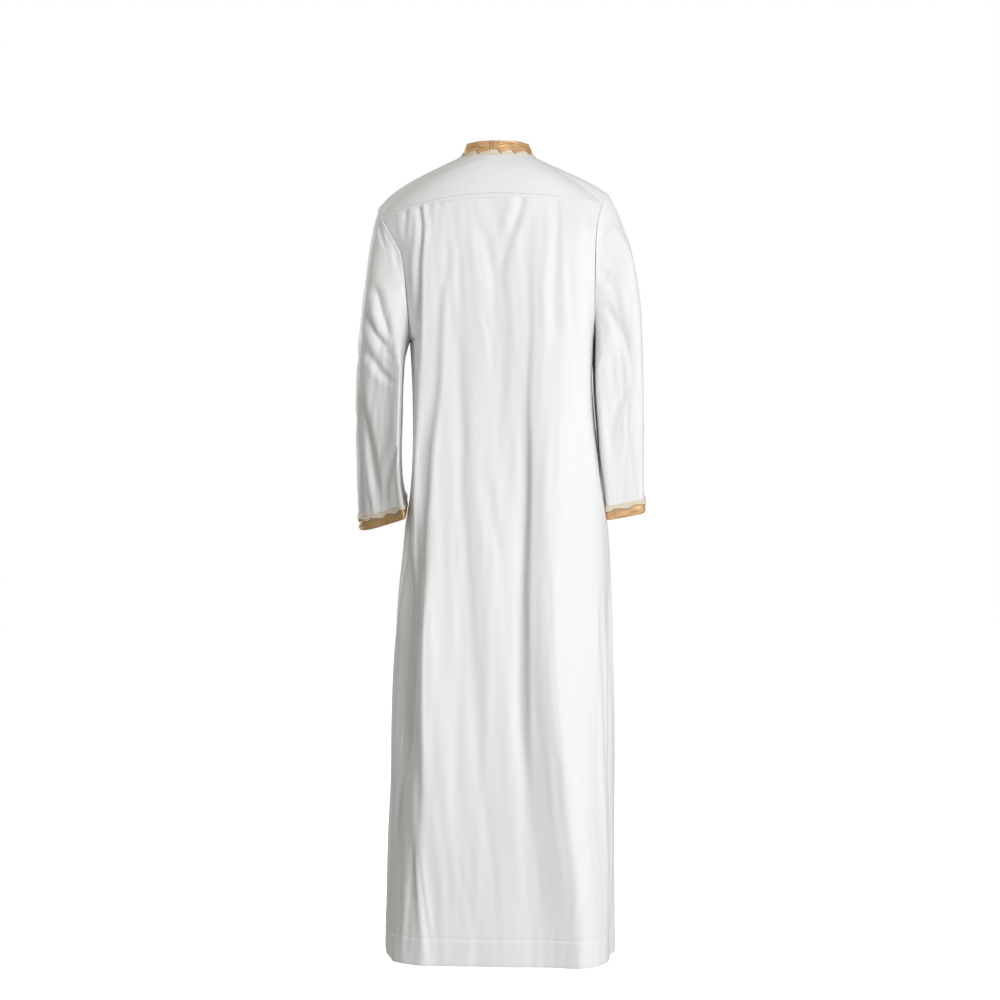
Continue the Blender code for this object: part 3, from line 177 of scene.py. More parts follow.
BACK_DRAPE = folds("back",
    # pleats that spring from the yoke seam
    (0.006, 0, -0.0016, 0.8, 0, (0.174, 1.41), (0.178, 1.37), (0.18, 1.333)),
    (0.0055, 0, -0.0048, 0.8, 0.1, (0.1535, 1.412), (0.148, 1.358), (0.152, 1.296), (0.153, 1.222),
     (0.156, 1.1)),
    (0.009, 0, -0.0022, 0.8, 0, (-0.041, 1.42), (-0.022, 1.344)),
    (0.009, 0, -0.0022, 0.8, 0, (-0.101, 1.418), (-0.104, 1.36), (-0.099, 1.222), (-0.108, 1.12)),
    # hollows that deepen the steps of the sections
    (0.009, -0.3, -0.0026, 0.1, 0.3, (0.098, 1.32), (0.112, 1.222), (0.12, 1.06), (0.134, 0.95),
     (0.139, 0.853), (0.148, 0.76)),
    (0.009, -0.4, -0.003, 0.1, 0.2, (-0.052, 1.3), (-0.051, 1.13), (-0.047, 1.038), (-0.05, 0.945),
     (-0.05, 0.853), (-0.0455, 0.76), (-0.0455, 0.58), (-0.05, 0.37), (-0.058, 0.25)),
    (0.007, -0.4, -0.0024, 0.2, 0.2, (-0.05, 0.985), (-0.0495, 0.9), (-0.048, 0.8),
     (-0.0455, 0.69)),
    (0.014, 0, -0.0018, 0.1, 0.4, (0.076, 1.26), (0.073, 0.9), (0.062, 0.72), (0.048, 0.52),
     (0.036, 0.3), (0.02, 0.1)),
    (0.009, 0, -0.0014, 0.1, 0.1, (0.075, 1.18), (0.0715, 1.04), (0.067, 0.9)),
    # between the shoulder blades
    (0.011, 0, -0.0022, 0.3, 0.3, (0.048, 1.385), (0.025, 1.315), (0.004, 1.235)),
    (0.009, 0, -0.0018, 0.4, 0.2, (-0.04, 1.4), (-0.008, 1.313), (0, 1.255)),
    (0.013, 0, -0.0015, 0.2, 0.2, (0.001, 1.23), (-0.005, 1.102), (0.006, 1), (0.012, 0.9)),
    (0.01, -0.2, -0.0022, 0.1, 0.1, (0.024, 0.905), (0.019, 0.853), (0.01, 0.79), (0, 0.74)),
    (0.022, 0, -0.0012, 0.1, 0.2, (0.006, 1.18), (0.006, 1.05), (0, 0.84)),
    # creases that fan out at the foot of the left side seam
    (0.012, 0, -0.0016, 0.1, 1, (0.155, 0.25), (0.171, 0)),
    (0.012, 0, 0.0014, 0.1, 1, (0.152, 0.25), (0.136, 0)),
) + folds("left",
    # the sides
    (0.03, 0, -0.012, 0.1, 0, (0.085, 0.78), (0.09, 0.56), (0.095, 0.3)),
    (0.022, 0, -0.006, 0.1, 1, (-0.03, 0.9), (-0.04, 0.45), (-0.06, 0)),
) + folds("right",
    (0.026, 0, -0.007, 0.1, 1, (0.03, 0.78), (0.05, 0.4), (0.07, 0)),
    (0.022, 0, -0.005, 0.1, 1, (-0.06, 0.76), (-0.07, 0.4), (-0.09, 0)),
)
FRONT_DRAPE = folds("front",
    (0.014, 0, -0.005, 0.1, 0.1, (0.14, 1.3), (0.12, 1.2), (0.085, 1.12)),
    (0.014, 0, -0.005, 0.1, 0.1, (-0.145, 1.31), (-0.122, 1.21), (-0.09, 1.12)),
    (0.016, 0, -0.006, 0.1, 0.8, (0.1, 1.12), (0.115, 0.8), (0.11, 0.4), (0.128, 0)),
    (0.015, 0, -0.0055, 0.1, 0.6, (0.045, 1.05), (0.04, 0.7), (0.052, 0.35), (0.058, 0)),
    (0.016, 0, -0.008, 0.1, 1, (-0.03, 0.98), (-0.025, 0.6), (-0.01, 0.3), (-0.012, 0)),
    (0.018, 0, -0.007, 0.1, 0.8, (-0.095, 1.12), (-0.09, 0.8), (-0.078, 0.4), (-0.088, 0)),
    (0.018, 0, -0.006, 0.1, 1, (-0.15, 0.85), (-0.145, 0.45), (-0.16, 0)),
    (0.014, 0, 0.005, 0.1, 1, (0.16, 0.6), (0.165, 0.3), (0.172, 0)),
)
SLEEVE_LEFT_DRAPE = folds("back",
    (0.009, 0, -0.0052, 0.1, 0.2, (0.238, 1.262), (0.2255, 1.222), (0.216, 1.185), (0.204, 1.145)),
    (0.0085, 0, -0.0048, 0.1, 0.2, (0.262, 1.22), (0.244, 1.18), (0.222, 1.146), (0.206, 1.13)),
    (0.0075, 0, -0.0036, 0.1, 0.2, (0.254, 1.136), (0.234, 1.108), (0.214, 1.082), (0.2, 1.072)),
    (0.0095, 0, -0.0048, 0.1, 0.2, (0.264, 1.06), (0.254, 0.993), (0.2446, 0.9465), (0.237, 0.9),
     (0.228, 0.846)),
) + folds("front",
    (0.0138, 0, -0.0045, 0.1, 0.2, (0.25, 1.12), (0.2, 1.06)),
    (0.0138, 0, -0.0041, 0.1, 0.2, (0.258, 1.05), (0.205, 1.02)),
    (0.0125, 0, -0.003, 0.1, 0.2, (0.235, 1.3), (0.2, 1.21)),
) + folds("left",
    (0.015, 0, -0.002, 0.1, 0.2, (0.04, 1.15), (-0.05, 1.08)),
    (0.015, 0, -0.0018, 0.1, 0.2, (0.03, 1.02), (-0.06, 0.98)),
)
SLEEVE_RIGHT_DRAPE = folds("back",
    (0.01, 0, -0.0026, 0.1, 0.2, (-0.199, 1.38), (-0.181, 1.325)),
    (0.0112, 0, -0.0029, 0.1, 0.2, (-0.182, 1.275), (-0.205, 1.27)),
    (0.0137, 0, -0.0033, 0.1, 0.2, (-0.185, 1.225), (-0.225, 1.17), (-0.238, 1.12)),
    (0.0137, 0, -0.0029, 0.1, 0.2, (-0.25, 1.08), (-0.215, 1.02), (-0.21, 0.93)),
) + folds("front",
    (0.0137, 0, -0.0039, 0.1, 0.2, (-0.252, 1.13), (-0.205, 1.07)),
    (0.0137, 0, -0.0033, 0.1, 0.2, (-0.258, 1.04), (-0.21, 1.01)),
    (0.0125, 0, -0.0026, 0.1, 0.2, (-0.225, 1.31), (-0.195, 1.22)),
) + folds("right",
    (0.015, 0, -0.0018, 0.1, 0.2, (0.04, 1.17), (-0.05, 1.1)),
    (0.015, 0, -0.0016, 0.1, 0.2, (0.03, 1.03), (-0.06, 0.99)),
)
FACES = {"back": (0, 1), "front": (0, -1), "left": (1, 0), "right": (-1, 0)}
print(len(BACK_DRAPE) + len(FRONT_DRAPE), "wide folds on the body")

# %% Narrow folds on the back and the front
BACK_CREASES = folds("back",
    # pleats that spring from the yoke seam
    (0.0028, 0, -0.0009, 1, 0, (0.176, 1.41), (0.176, 1.372), (0.182, 1.335)),
    (0.003, 0, -0.001, 1, 0, (0.161, 1.412), (0.161, 1.372), (0.166, 1.32)),
    (0.003, 0.3, -0.0014, 1, 0, (0.1515, 1.414), (0.1455, 1.36), (0.15, 1.31)),
    (0.0034, -0.3, -0.001, 1, 0, (0.123, 1.417), (0.137, 1.372), (0.142, 1.35)),
    (0.0045, 0, -0.0009, 1, 0, (0.107, 1.418), (0.115, 1.37), (0.112, 1.34)),
    (0.005, 0, -0.0005, 1, 0, (0.052, 1.421), (0.049, 1.38)),
    (0.004, 0, -0.0007, 1, 0, (-0.007, 1.421), (-0.009, 1.397)),
    (0.0045, -0.3, -0.001, 1, 0, (-0.045, 1.421), (-0.036, 1.385), (-0.026, 1.345)),
    (0.004, 0.3, -0.001, 1, 0, (-0.104, 1.42), (-0.107, 1.38), (-0.105, 1.33)),
    (0.0035, 0, -0.0008, 1, 0, (-0.156, 1.416), (-0.161, 1.385)),
    # soft hollows between the shoulder blades and below them
    (0.007, 0, -0.0007, 0.1, 0.1, (0.098, 1.33), (0.096, 1.29), (0.104, 1.24)),
    (0.006, 0, -0.0007, 0.1, 0.1, (0.074, 1.33), (0.075, 1.27), (0.072, 1.19)),
    (0.006, 0, -0.0007, 0.1, 0.1, (0.047, 1.35), (0.04, 1.3), (0.026, 1.25)),
    (0.007, 0, -0.0007, 0.1, 0.1, (-0.026, 1.345), (-0.004, 1.29), (-0.01, 1.19)),
    (0.006, 0.3, -0.0007, 0.1, 0.1, (0.034, 1.21), (0.018, 1.15), (0.012, 1.08)),
    (0.009, 0, -0.0007, 0.1, 0.1, (0.02, 0.9), (0.006, 0.84), (0, 0.76)),
    # below the hips
    (0.009, 0, -0.0006, 0.1, 0.1, (-0.122, 0.8), (-0.14, 0.7), (-0.15, 0.6)),
    (0.008, 0, -0.0007, 0.1, 0.1, (-0.098, 0.42), (-0.106, 0.3), (-0.112, 0.2)),
    (0.006, 0.3, -0.0009, 0.1, 0.1, (-0.146, 0.13), (-0.142, 0.085), (-0.138, 0.05)),
    (0.006, 0, -0.0007, 0.1, 0.1, (0.072, 0.18), (0.06, 0.12), (0.048, 0.06)),
    (0.009, 0, -0.0007, 0.1, 0.1, (0.104, 0.3), (0.098, 0.2), (0.09, 0.1)),
    # the fan of creases at the left side seam
    (0.0045, 0.2, -0.0012, 0.1, 0.6, (0.16, 0.245), (0.166, 0.14), (0.176, 0.02)),
    (0.005, 0, 0.0011, 0.1, 0.6, (0.156, 0.24), (0.15, 0.13), (0.14, 0.02)),
    (0.0035, 0, -0.001, 0.1, 0.6, (0.152, 0.23), (0.141, 0.12), (0.128, 0.02)),
    (0.0035, 0, 0.0007, 0.1, 0.4, (0.148, 0.22), (0.134, 0.12), (0.118, 0.03)),
) + folds("left",
    # the sides
    (0.009, 0, -0.0024, 0.1, 0.4, (0.118, 0.7), (0.112, 0.5), (0.12, 0.3), (0.136, 0.12)),
    (0.009, 0, 0.0018, 0.1, 0.3, (0.05, 0.76), (0.052, 0.5), (0.06, 0.25)),
    (0.008, 0, -0.0018, 0.1, 0.3, (0.01, 0.82), (0.004, 0.56), (-0.004, 0.3), (-0.01, 0.08)),
) + folds("right",
    (0.009, 0, -0.0018, 0.1, 0.3, (0.08, 0.72), (0.09, 0.46), (0.104, 0.18)),
    (0.008, 0, 0.0014, 0.1, 0.3, (0.006, 0.8), (0, 0.5), (-0.01, 0.2)),
    (0.008, 0, -0.0016, 0.1, 0.3, (-0.03, 0.7), (-0.036, 0.44), (-0.046, 0.16)),
)
FRONT_CREASES = folds("front",
    (0.006, 0.2, -0.0022, 0.1, 0.1, (0.13, 1.28), (0.104, 1.17), (0.072, 1.09)),
    (0.006, -0.2, -0.0022, 0.1, 0.1, (-0.134, 1.29), (-0.108, 1.18), (-0.078, 1.1)),
    (0.005, 0, -0.0018, 0.1, 0.1, (0.15, 1.23), (0.132, 1.15), (0.1, 1.06)),
    (0.005, 0, -0.0018, 0.1, 0.1, (-0.152, 1.24), (-0.13, 1.14), (-0.106, 1.05)),
    (0.007, 0, 0.0018, 0.1, 0.1, (0.072, 1.38), (0.08, 1.25), (0.084, 1.12)),
    (0.007, 0, 0.0018, 0.1, 0.1, (-0.078, 1.38), (-0.084, 1.24), (-0.08, 1.1)),
    (0.007, 0.3, -0.0026, 0.1, 0.2, (0.06, 0.98), (0.07, 0.7), (0.078, 0.4), (0.088, 0.06)),
    (0.007, -0.3, -0.003, 0.1, 0.2, (0.016, 0.9), (0.01, 0.6), (0.018, 0.3), (0.024, 0.04)),
    (0.007, 0, -0.0026, 0.1, 0.2, (-0.064, 1), (-0.058, 0.7), (-0.046, 0.38), (-0.05, 0.05)),
    (0.008, 0, 0.0024, 0.1, 0.2, (-0.118, 0.9), (-0.116, 0.6), (-0.108, 0.25)),
    (0.007, 0.2, -0.0026, 0.1, 0.3, (0.14, 0.9), (0.146, 0.55), (0.15, 0.15)),
    (0.007, 0, -0.0024, 0.1, 0.3, (-0.172, 0.7), (-0.176, 0.4), (-0.186, 0.08)),
    (0.006, 0, -0.0016, 0.1, 0.1, (0.028, 1.14), (0.03, 1.03), (0.022, 0.9)),
)
print(len(BACK_CREASES) + len(FRONT_CREASES), "narrow folds on the body")

# %% Narrow folds on the sleeves
SLEEVE_LEFT_CREASES = folds("back",
    (0.0036, 0, -0.0024, 0.6, 0, (0.229, 1.382), (0.222, 1.35), (0.216, 1.322)),
    (0.004, 0, -0.0032, 0.6, 0, (0.218, 1.394), (0.212, 1.362), (0.205, 1.33)),
    (0.005, 0, -0.0034, 0.6, 0.1, (0.206, 1.38), (0.196, 1.33), (0.19, 1.28)),
    (0.003, 0, 0.0011, 0.1, 0.3, (0.21, 1.229), (0.194, 1.226), (0.178, 1.229)),
    (0.004, 0, -0.0014, 0.1, 0.1, (0.234, 1.25), (0.222, 1.205), (0.206, 1.155)),
    (0.004, 0, -0.0012, 0.1, 0.1, (0.252, 1.196), (0.232, 1.16), (0.21, 1.136)),
    (0.0044, 0, -0.0012, 0.1, 0.1, (0.216, 1.128), (0.198, 1.12), (0.184, 1.124)),
    (0.0048, 0.3, -0.0014, 0.1, 0.1, (0.262, 1.05), (0.25, 0.975), (0.243, 0.92), (0.237, 0.86)),
    (0.006, -0.2, -0.0024, 0.1, 0.4, (0.186, 0.97), (0.2, 0.93), (0.2105, 0.89), (0.212, 0.842)),
    (0.004, 0, -0.001, 0.1, 0.1, (0.247, 0.858), (0.245, 0.82)),
) + folds("front",
    (0.0058, 0, -0.0014, 0.1, 0.1, (0.256, 1.14), (0.228, 1.094), (0.198, 1.066)),
    (0.0058, 0, -0.0014, 0.1, 0.1, (0.262, 1.07), (0.232, 1.036), (0.2, 1.016)),
    (0.0058, 0, -0.0011, 0.1, 0.1, (0.264, 1), (0.238, 0.97), (0.204, 0.956)),
    (0.0058, 0, -0.001, 0.1, 0.1, (0.238, 1.32), (0.218, 1.26), (0.196, 1.2)),
) + folds("left",
    (0.0063, 0, -0.0007, 0.1, 0.1, (0.05, 1.165), (0, 1.13), (-0.056, 1.09)),
    (0.0063, 0, -0.0007, 0.1, 0.1, (0.04, 1.04), (-0.01, 1.008), (-0.064, 0.99)),
)
SLEEVE_RIGHT_CREASES = folds("back",
    (0.004, 0, -0.001, 0.1, 0.1, (-0.2, 1.384), (-0.192, 1.35), (-0.181, 1.322)),
    (0.004, 0, -0.001, 0.1, 0.1, (-0.18, 1.277), (-0.192, 1.274), (-0.206, 1.27)),
    (0.0057, 0, -0.0012, 0.1, 0.1, (-0.184, 1.23), (-0.204, 1.204), (-0.228, 1.162), (-0.24, 1.11)),
    (0.0052, 0, 0.0008, 0.1, 0.1, (-0.186, 1.205), (-0.204, 1.18), (-0.216, 1.15)),
    (0.0057, 0, -0.0012, 0.1, 0.1, (-0.254, 1.086), (-0.228, 1.046), (-0.212, 1), (-0.208, 0.93)),
    (0.0052, 0, -0.0009, 0.1, 0.1, (-0.262, 1.01), (-0.24, 0.96), (-0.232, 0.9)),
) + folds("front",
    (0.0057, 0, -0.0013, 0.1, 0.1, (-0.256, 1.15), (-0.228, 1.1), (-0.2, 1.07)),
    (0.0057, 0, -0.0012, 0.1, 0.1, (-0.262, 1.06), (-0.232, 1.026), (-0.204, 1.008)),
    (0.0057, 0, -0.0009, 0.1, 0.1, (-0.228, 1.33), (-0.21, 1.27), (-0.192, 1.21)),
) + folds("right",
    (0.0063, 0, -0.0007, 0.1, 0.1, (0.046, 1.18), (0, 1.146), (-0.056, 1.106)),
    (0.0063, 0, -0.0006, 0.1, 0.1, (0.04, 1.05), (-0.01, 1.02), (-0.064, 1)),
)
print(len(SLEEVE_LEFT_CREASES) + len(SLEEVE_RIGHT_CREASES), "narrow folds on the sleeves")

# %% [markdown]
# ## Helpers for smooth surfaces
# A pattern table has few rows, so a smooth curve is run through them. A fold is a soft trough with a
# low bank on each side, pressed into the cloth along its path. numpy works on a whole panel at once,
# which is far quicker than moving vertices one by one.

# %% Curves and directions
def smooth_through(keys, values, at):
    """What lies at any key, on a smooth curve through the values."""
    slopes = np.gradient(values, keys, axis=0)
    low = np.clip(np.searchsorted(keys, at) - 1, 0, len(keys) - 2)
    span = keys[low + 1] - keys[low]
    f = np.clip((at - keys[low]) / span, 0, 1)
    if values.ndim > 1 and np.ndim(at):
        span, f = span[:, None], f[:, None]
    rise = (values[low + 1] - values[low]) * f * f * (3 - 2 * f)
    bend = span * (slopes[low] * f * (1 - f) ** 2 - slopes[low + 1] * f * f * (1 - f))
    return values[low] + rise + bend


def table_value(rows, column, at):
    """A column of a table at a key. The first column holds the keys."""
    keys = np.array([row[0] for row in rows])
    return smooth_through(keys, np.array([getattr(row, column) for row in rows]), at)


def read_line(at, run, line):
    """Points at some places along a line, where run says how far along each of its own points is."""
    return np.stack([np.interp(at, run, line[:, axis]) for axis in range(3)], axis=-1)


def ease(value, low, high):
    """0 below low, 1 above high, smooth between."""
    f = np.clip((value - low) / (high - low), 0, 1)
    return f * f * (3 - 2 * f)


def unit(vectors):
    return vectors / np.linalg.norm(vectors, axis=-1, keepdims=True)


def grid_normals(grid, closed=False):
    """Outward normals of a grid whose columns run to the right seen from outside and rows go up."""
    if closed:
        wide = np.concatenate([grid[:, -1:], grid, grid[:, :1]], axis=1)
        along = (wide[:, 2:] - wide[:, :-2]) / 2
    else:
        along = np.gradient(grid, axis=1)
    return unit(np.cross(along, np.gradient(grid, axis=0)))


def lengths_along(points):
    """The distance from the first point to each point of a line of points."""
    return np.concatenate([[0], np.cumsum(np.linalg.norm(np.diff(points, axis=0), axis=1))])


def grid_lengths(grid, axis):
    """For each point of a grid, how far it is along its row (axis 1) or up its column (axis 0)."""
    steps = np.linalg.norm(np.diff(grid, axis=axis), axis=-1)
    return np.concatenate([np.zeros_like(steps.take([0], axis)), np.cumsum(steps, axis)], axis)


def from_sides(grid):
    """How far each point is from the nearer end of its row."""
    lengths = grid_lengths(grid, 1)
    return np.minimum(lengths, lengths[:, -1:] - lengths)


def from_top(grid):
    lengths = grid_lengths(grid, 0)
    return lengths[-1:] - lengths


# %% Folds
BANK_HEIGHT = 0.35
BANK_PLACE = 1.8


def path_distance(across, height, path):
    """How far each point is from a path, on which side, and how far along the path, 0 to 1."""
    points = np.array(path)
    steps = np.diff(points, axis=0)
    lengths = np.linalg.norm(steps, axis=1)
    starts = np.concatenate([[0], np.cumsum(lengths)])
    best = np.full(across.shape, np.inf)
    place = np.zeros(across.shape)
    side = np.zeros(across.shape)
    for point, step, length, start in zip(points, steps, lengths, starts):
        right, up = across - point[0], height - point[1]
        along = np.clip((right * step[0] + up * step[1]) / length**2, 0, 1)
        gap = np.hypot(right - along * step[0], up - along * step[1])
        nearer = gap < best
        best = np.where(nearer, gap, best)
        place = np.where(nearer, (start + along * length) / starts[-1], place)
        side = np.where(nearer, np.sign(up * step[0] - right * step[1]), side)
    return best, side, place


def soft_path(path):
    """A path's corners rounded off, so that the fold bends as cloth does."""
    points = np.array(path)
    if len(points) < 3:
        return points
    keys = lengths_along(points)
    return smooth_through(keys, points, np.linspace(0, keys[-1], 4 * len(points)))


def fold_offset(points, normals, folds):
    """How far the folds push each point out along its normal."""
    total = np.zeros(points.shape[:-1])
    for fold in folds:
        side, behind = FACES[fold.face]
        facing = normals[..., 0] * side + normals[..., 1] * behind
        across = points[..., 0] if behind else points[..., 1]
        near = facing > 0.05
        gap, which, place = path_distance(across[near], points[..., 2][near], soft_path(fold.path))
        gap = gap / fold.width * (1 + fold.lean * which)
        trough = np.exp(-(gap**2)) - BANK_HEIGHT * np.exp(-((gap - BANK_PLACE) ** 2))
        strength = fold.start + (1 - fold.start) * ease(place, 0, 0.25)
        strength = strength + (fold.end - 1) * ease(place, 0.75, 1)
        total[near] += fold.depth * trough * strength * ease(facing[near], 0.1, 0.5)
    return total


def rumple(across, up, seed, waves):
    """Soft unevenness from low waves of random direction, each row (count, across, up, depth)."""
    random = np.random.default_rng(seed)
    total = np.zeros(np.broadcast(across, up).shape)
    for count, wide, tall, depth in waves:
        for _ in range(count):
            size = random.uniform(0.7, 1.4)
            slant = random.uniform(-0.35, 0.35)
            phase = random.uniform(0, 2 * math.pi, 2)
            swell = np.sin(2 * math.pi * up / (tall * size * 1.7) + phase[1])
            run = across / (wide * size) + up / (tall * size) * slant
            total += depth / math.sqrt(count) * np.sin(2 * math.pi * run + phase[0]) * swell
    return total


print("a fold path of 3 points becomes", len(soft_path(BACK_DRAPE[0].path)), "points")

# %% [markdown]
# ## The lines of the pattern
# The robe is laid out as a tailor lays it out: neck seam, armholes, side seams, a yoke over the
# shoulders, then the rows of cloth between them. Each panel is a grid of points on those lines.

# %% Neck, armholes and shoulders
def neck_point(angle):
    """The neck seam at an angle from the wearer's left, 90 degrees at the back."""
    side, behind = np.cos(angle), np.sin(angle)
    depth = np.where(behind > 0, NECK_BACK, NECK_FRONT)
    drop = NECK_DROP * np.maximum(-behind, 0) ** 2
    x = NECK_SHIFT + NECK_HALF_WIDTH * side
    return np.stack([x, depth * behind, NECK_HEIGHT - drop], axis=-1)


def neck_slope(angle):
    """The direction in which the cloth leaves the neck seam, out and down."""
    side, behind = np.cos(angle), np.sin(angle)
    flat = 0.90 - 0.12 * behind**2 - 0.16 * np.maximum(-behind, 0) ** 2
    return np.stack([side * flat, behind * flat, -np.sqrt(1 - flat**2)], axis=-1)


def armhole_point(side, turn):
    """The armhole seam: turn 0 at the underarm, 0.25 behind, 0.5 on the shoulder, 0.75 before."""
    edges = ARMHOLE_LEFT if side > 0 else ARMHOLE_RIGHT
    low, high = edges[0].height, edges[-1].height
    round_angle = 2 * math.pi * np.asarray(turn, float)
    height = (low + high) / 2 - (high - low) / 2 * np.cos(round_angle)
    depth = ARMHOLE_HALF_DEPTH * np.sin(round_angle)
    scoop = ARMHOLE_FRONT_SCOOP * np.maximum(-np.sin(round_angle), 0)
    return np.stack([side * (table_value(edges, "across", height) - scoop), depth, height], axis=-1)


def shoulder_end_slope(side, angle):
    """The direction in which a shoulder line arrives at the armhole or the yoke seam."""
    across, behind = np.cos(angle), np.sin(angle)
    at_side = 0.62 if side > 0 else 0.80
    flat = at_side + (0.25 - at_side) * behind**2
    return np.stack([across * flat, behind * flat, -np.sqrt(1 - flat**2)], axis=-1)


def shoulder_line(start, end, start_slope, end_slope, shares):
    """A smooth line from the neck seam (share 0) to the outer edge of the yoke (share 1)."""
    shares = np.asarray(shares)[:, None]
    length = np.linalg.norm(end - start)
    blend = shares * shares * (3 - 2 * shares)
    leave = shares * (1 - shares) ** 2 * length
    arrive = shares * shares * (1 - shares) * length
    return start + (end - start) * blend + leave * start_slope - arrive * end_slope


def front_seam(side, shares):
    """The front yoke seam, from the neck (share 0) to the armhole (share 1)."""
    angle = YOKE_NECK_ANGLES[0] if side > 0 else math.pi - YOKE_NECK_ANGLES[0]
    end = armhole_point(side, YOKE_TURN_FRONT)
    slopes = neck_slope(angle), shoulder_end_slope(side, angle)
    return shoulder_line(neck_point(angle), end, *slopes, shares)


neck_line = neck_point(np.linspace(0, 2 * math.pi, 200))
print("the neck seam is", round(lengths_along(neck_line)[-1], 3), "m round")

# %% Rows of the body
def flattened(value):
    """A sine or cosine of an oval whose back, front and sides are flatter than an ellipse's."""
    return np.sign(value) * np.abs(value) ** FLATNESS


def half_row(end, centre, start_angle, fractions):
    """Points from a side seam or armhole to the centre line, along part of a flattened oval."""
    angle = start_angle + np.asarray(fractions) * (math.pi / 2 - start_angle)
    start = flattened(math.sin(start_angle))
    across = flattened(np.cos(angle)) / flattened(math.cos(start_angle))
    bulge = (flattened(np.sin(angle)) - start) / (1 - start)
    x = centre[0] + (end[0] - centre[0]) * across
    y = end[1] + (centre[1] - end[1]) * bulge
    z = end[2] + (centre[2] - end[2]) * (1 - across**2)
    return np.stack([x, y, z], axis=-1)


def full_row(left, right, centre, angles, fractions):
    """A row of a panel from the wearer's left end to the right end, through the centre line."""
    left_half = half_row(left, centre, angles[0], fractions[0])
    right_half = half_row(right, centre, angles[1], fractions[1])
    return np.concatenate([left_half, right_half[-2::-1]])


def lower_row(height, front, fractions):
    """A row below the underarm."""
    seam = math.radians(table_value(BODY, "seam", height))
    back = table_value(BODY, "back", height)
    depth = table_value(BODY, "front", height)
    left = table_value(BODY, "left", height)
    left_end = (left * flattened(math.cos(seam)), back * flattened(math.sin(seam)), height)
    right_end = (-table_value(BODY, "right", height), 0.0, height)
    centre = (0.0, -depth if front else back, height)
    return full_row(left_end, right_end, centre, (-seam if front else seam, 0.0), fractions)


def upper_row(turn_share, front, fractions):
    """A row between the underarm and the yoke, from armhole to armhole."""
    last = 1 - YOKE_TURN_FRONT if front else YOKE_TURN_BACK
    turn = turn_share * last
    rise = (1 - math.cos(2 * math.pi * turn)) / (1 - math.cos(2 * math.pi * last))
    table = CENTRE_FRONT if front else CENTRE_BACK
    centre_height = UNDERARM_HEIGHT + rise * (table[-1].height - UNDERARM_HEIGHT)
    depth = table_value(table, "depth", centre_height)
    angle = UPPER_START_ANGLE * math.sin(min(2 * math.pi * turn, math.pi / 2))
    ends = [armhole_point(side, 1 - turn if front else turn) for side in (1, -1)]
    centre = (NECK_SHIFT * rise, -depth if front else depth, centre_height)
    return full_row(ends[0], ends[1], centre, (angle, angle), fractions)


# %% Where the rows and columns lie
LOWER_STEP = 0.0066
UPPER_ROWS = 48
UPPER_ROWS_PER_STEP = UPPER_ROWS / 12
NEAR_SEAM = np.array([0.0012, 0.0028, 0.0050, 0.0080])
HALF_GIRTH = 0.37
UPPER_LENGTH = 0.21
BACK_HALF_COLUMNS = 92
YOKE_EDGE_COLUMNS = 35
NECK_COLUMNS = 57


def lower_heights():
    """Close rows at the hem and its stitch line, then even steps to the underarm."""
    hem = np.concatenate([[0.0], NEAR_SEAM, np.linspace(0.0135, HEM_DEPTH - 0.008, 5)])
    stitch = HEM_DEPTH + np.array([-0.0045, -0.0022, -0.0010, 0.0, 0.0010, 0.0022, 0.0045])
    steps = round((UNDERARM_HEIGHT - stitch[-1]) / LOWER_STEP)
    return np.concatenate([hem, stitch, np.linspace(stitch[-1], UNDERARM_HEIGHT, steps + 1)[1:]])


def upper_shares():
    """Even rows from the underarm up, and closer ones under the yoke seam."""
    even = np.linspace(0, 1, UPPER_ROWS + 1)[1:-1]
    return np.concatenate([even, 1 - NEAR_SEAM[::-1] / UPPER_LENGTH, [1.0]])


def back_fractions():
    """Columns of half the back, closer together beside the side seam."""
    even = np.linspace(0, 1, BACK_HALF_COLUMNS + 1)
    near = NEAR_SEAM / HALF_GIRTH
    return np.concatenate([[0], near, near[-1] + even[1:] * (1 - near[-1])])


print(len(lower_heights()), "rows below the underarm,", len(upper_shares()), "above it")

# %% The back, laid out
SETTLE_SPAN = 0.045
SETTLE_STEP = 0.005
# the evening out fades in over the first four of this many parts of half a panel
SETTLED_COLUMNS = {"back": 18, "front": 13}


def settle(grid, column_shares):
    """Evens out each column around the underarm, where the cloth hangs past with no crease across."""
    reach = 8 * SETTLE_SPAN
    even = np.arange(UNDERARM_HEIGHT - reach, UNDERARM_HEIGHT + reach, SETTLE_STEP)
    half = round(3 * SETTLE_SPAN / SETTLE_STEP)
    share = np.exp(-((np.arange(-half, half + 1) * SETTLE_STEP / SETTLE_SPAN) ** 2) / 2)
    share /= share.sum()
    rows, columns = grid.shape[:2]
    below_top = ease(np.arange(rows)[::-1] / UPPER_ROWS_PER_STEP, 0, 3)
    for column in range(1, columns - 1):
        height = grid[:, column, 2].copy()
        strength = np.exp(-(((height - UNDERARM_HEIGHT) / (3 * SETTLE_SPAN)) ** 2)) * below_top
        strength *= column_shares[column]
        for axis in (0, 1):
            values = np.interp(even, height, grid[:, column, axis])
            values = np.convolve(np.pad(values, half, mode="edge"), share, mode="valid")
            moved = np.interp(height, even, values) - grid[:, column, axis]
            grid[:, column, axis] += moved * strength
    return grid


def back_grid():
    """The back, rows from hem to yoke seam. Columns from the wearer's left to right."""
    half = back_fractions()
    fractions = (half, half)
    rows = [lower_row(height, False, fractions) for height in lower_heights()]
    rows += [upper_row(share, False, fractions) for share in upper_shares()]
    from_side = np.concatenate([half, half[-2::-1]])
    return settle(np.array(rows), ease(from_side * SETTLED_COLUMNS["back"], 0, 4))


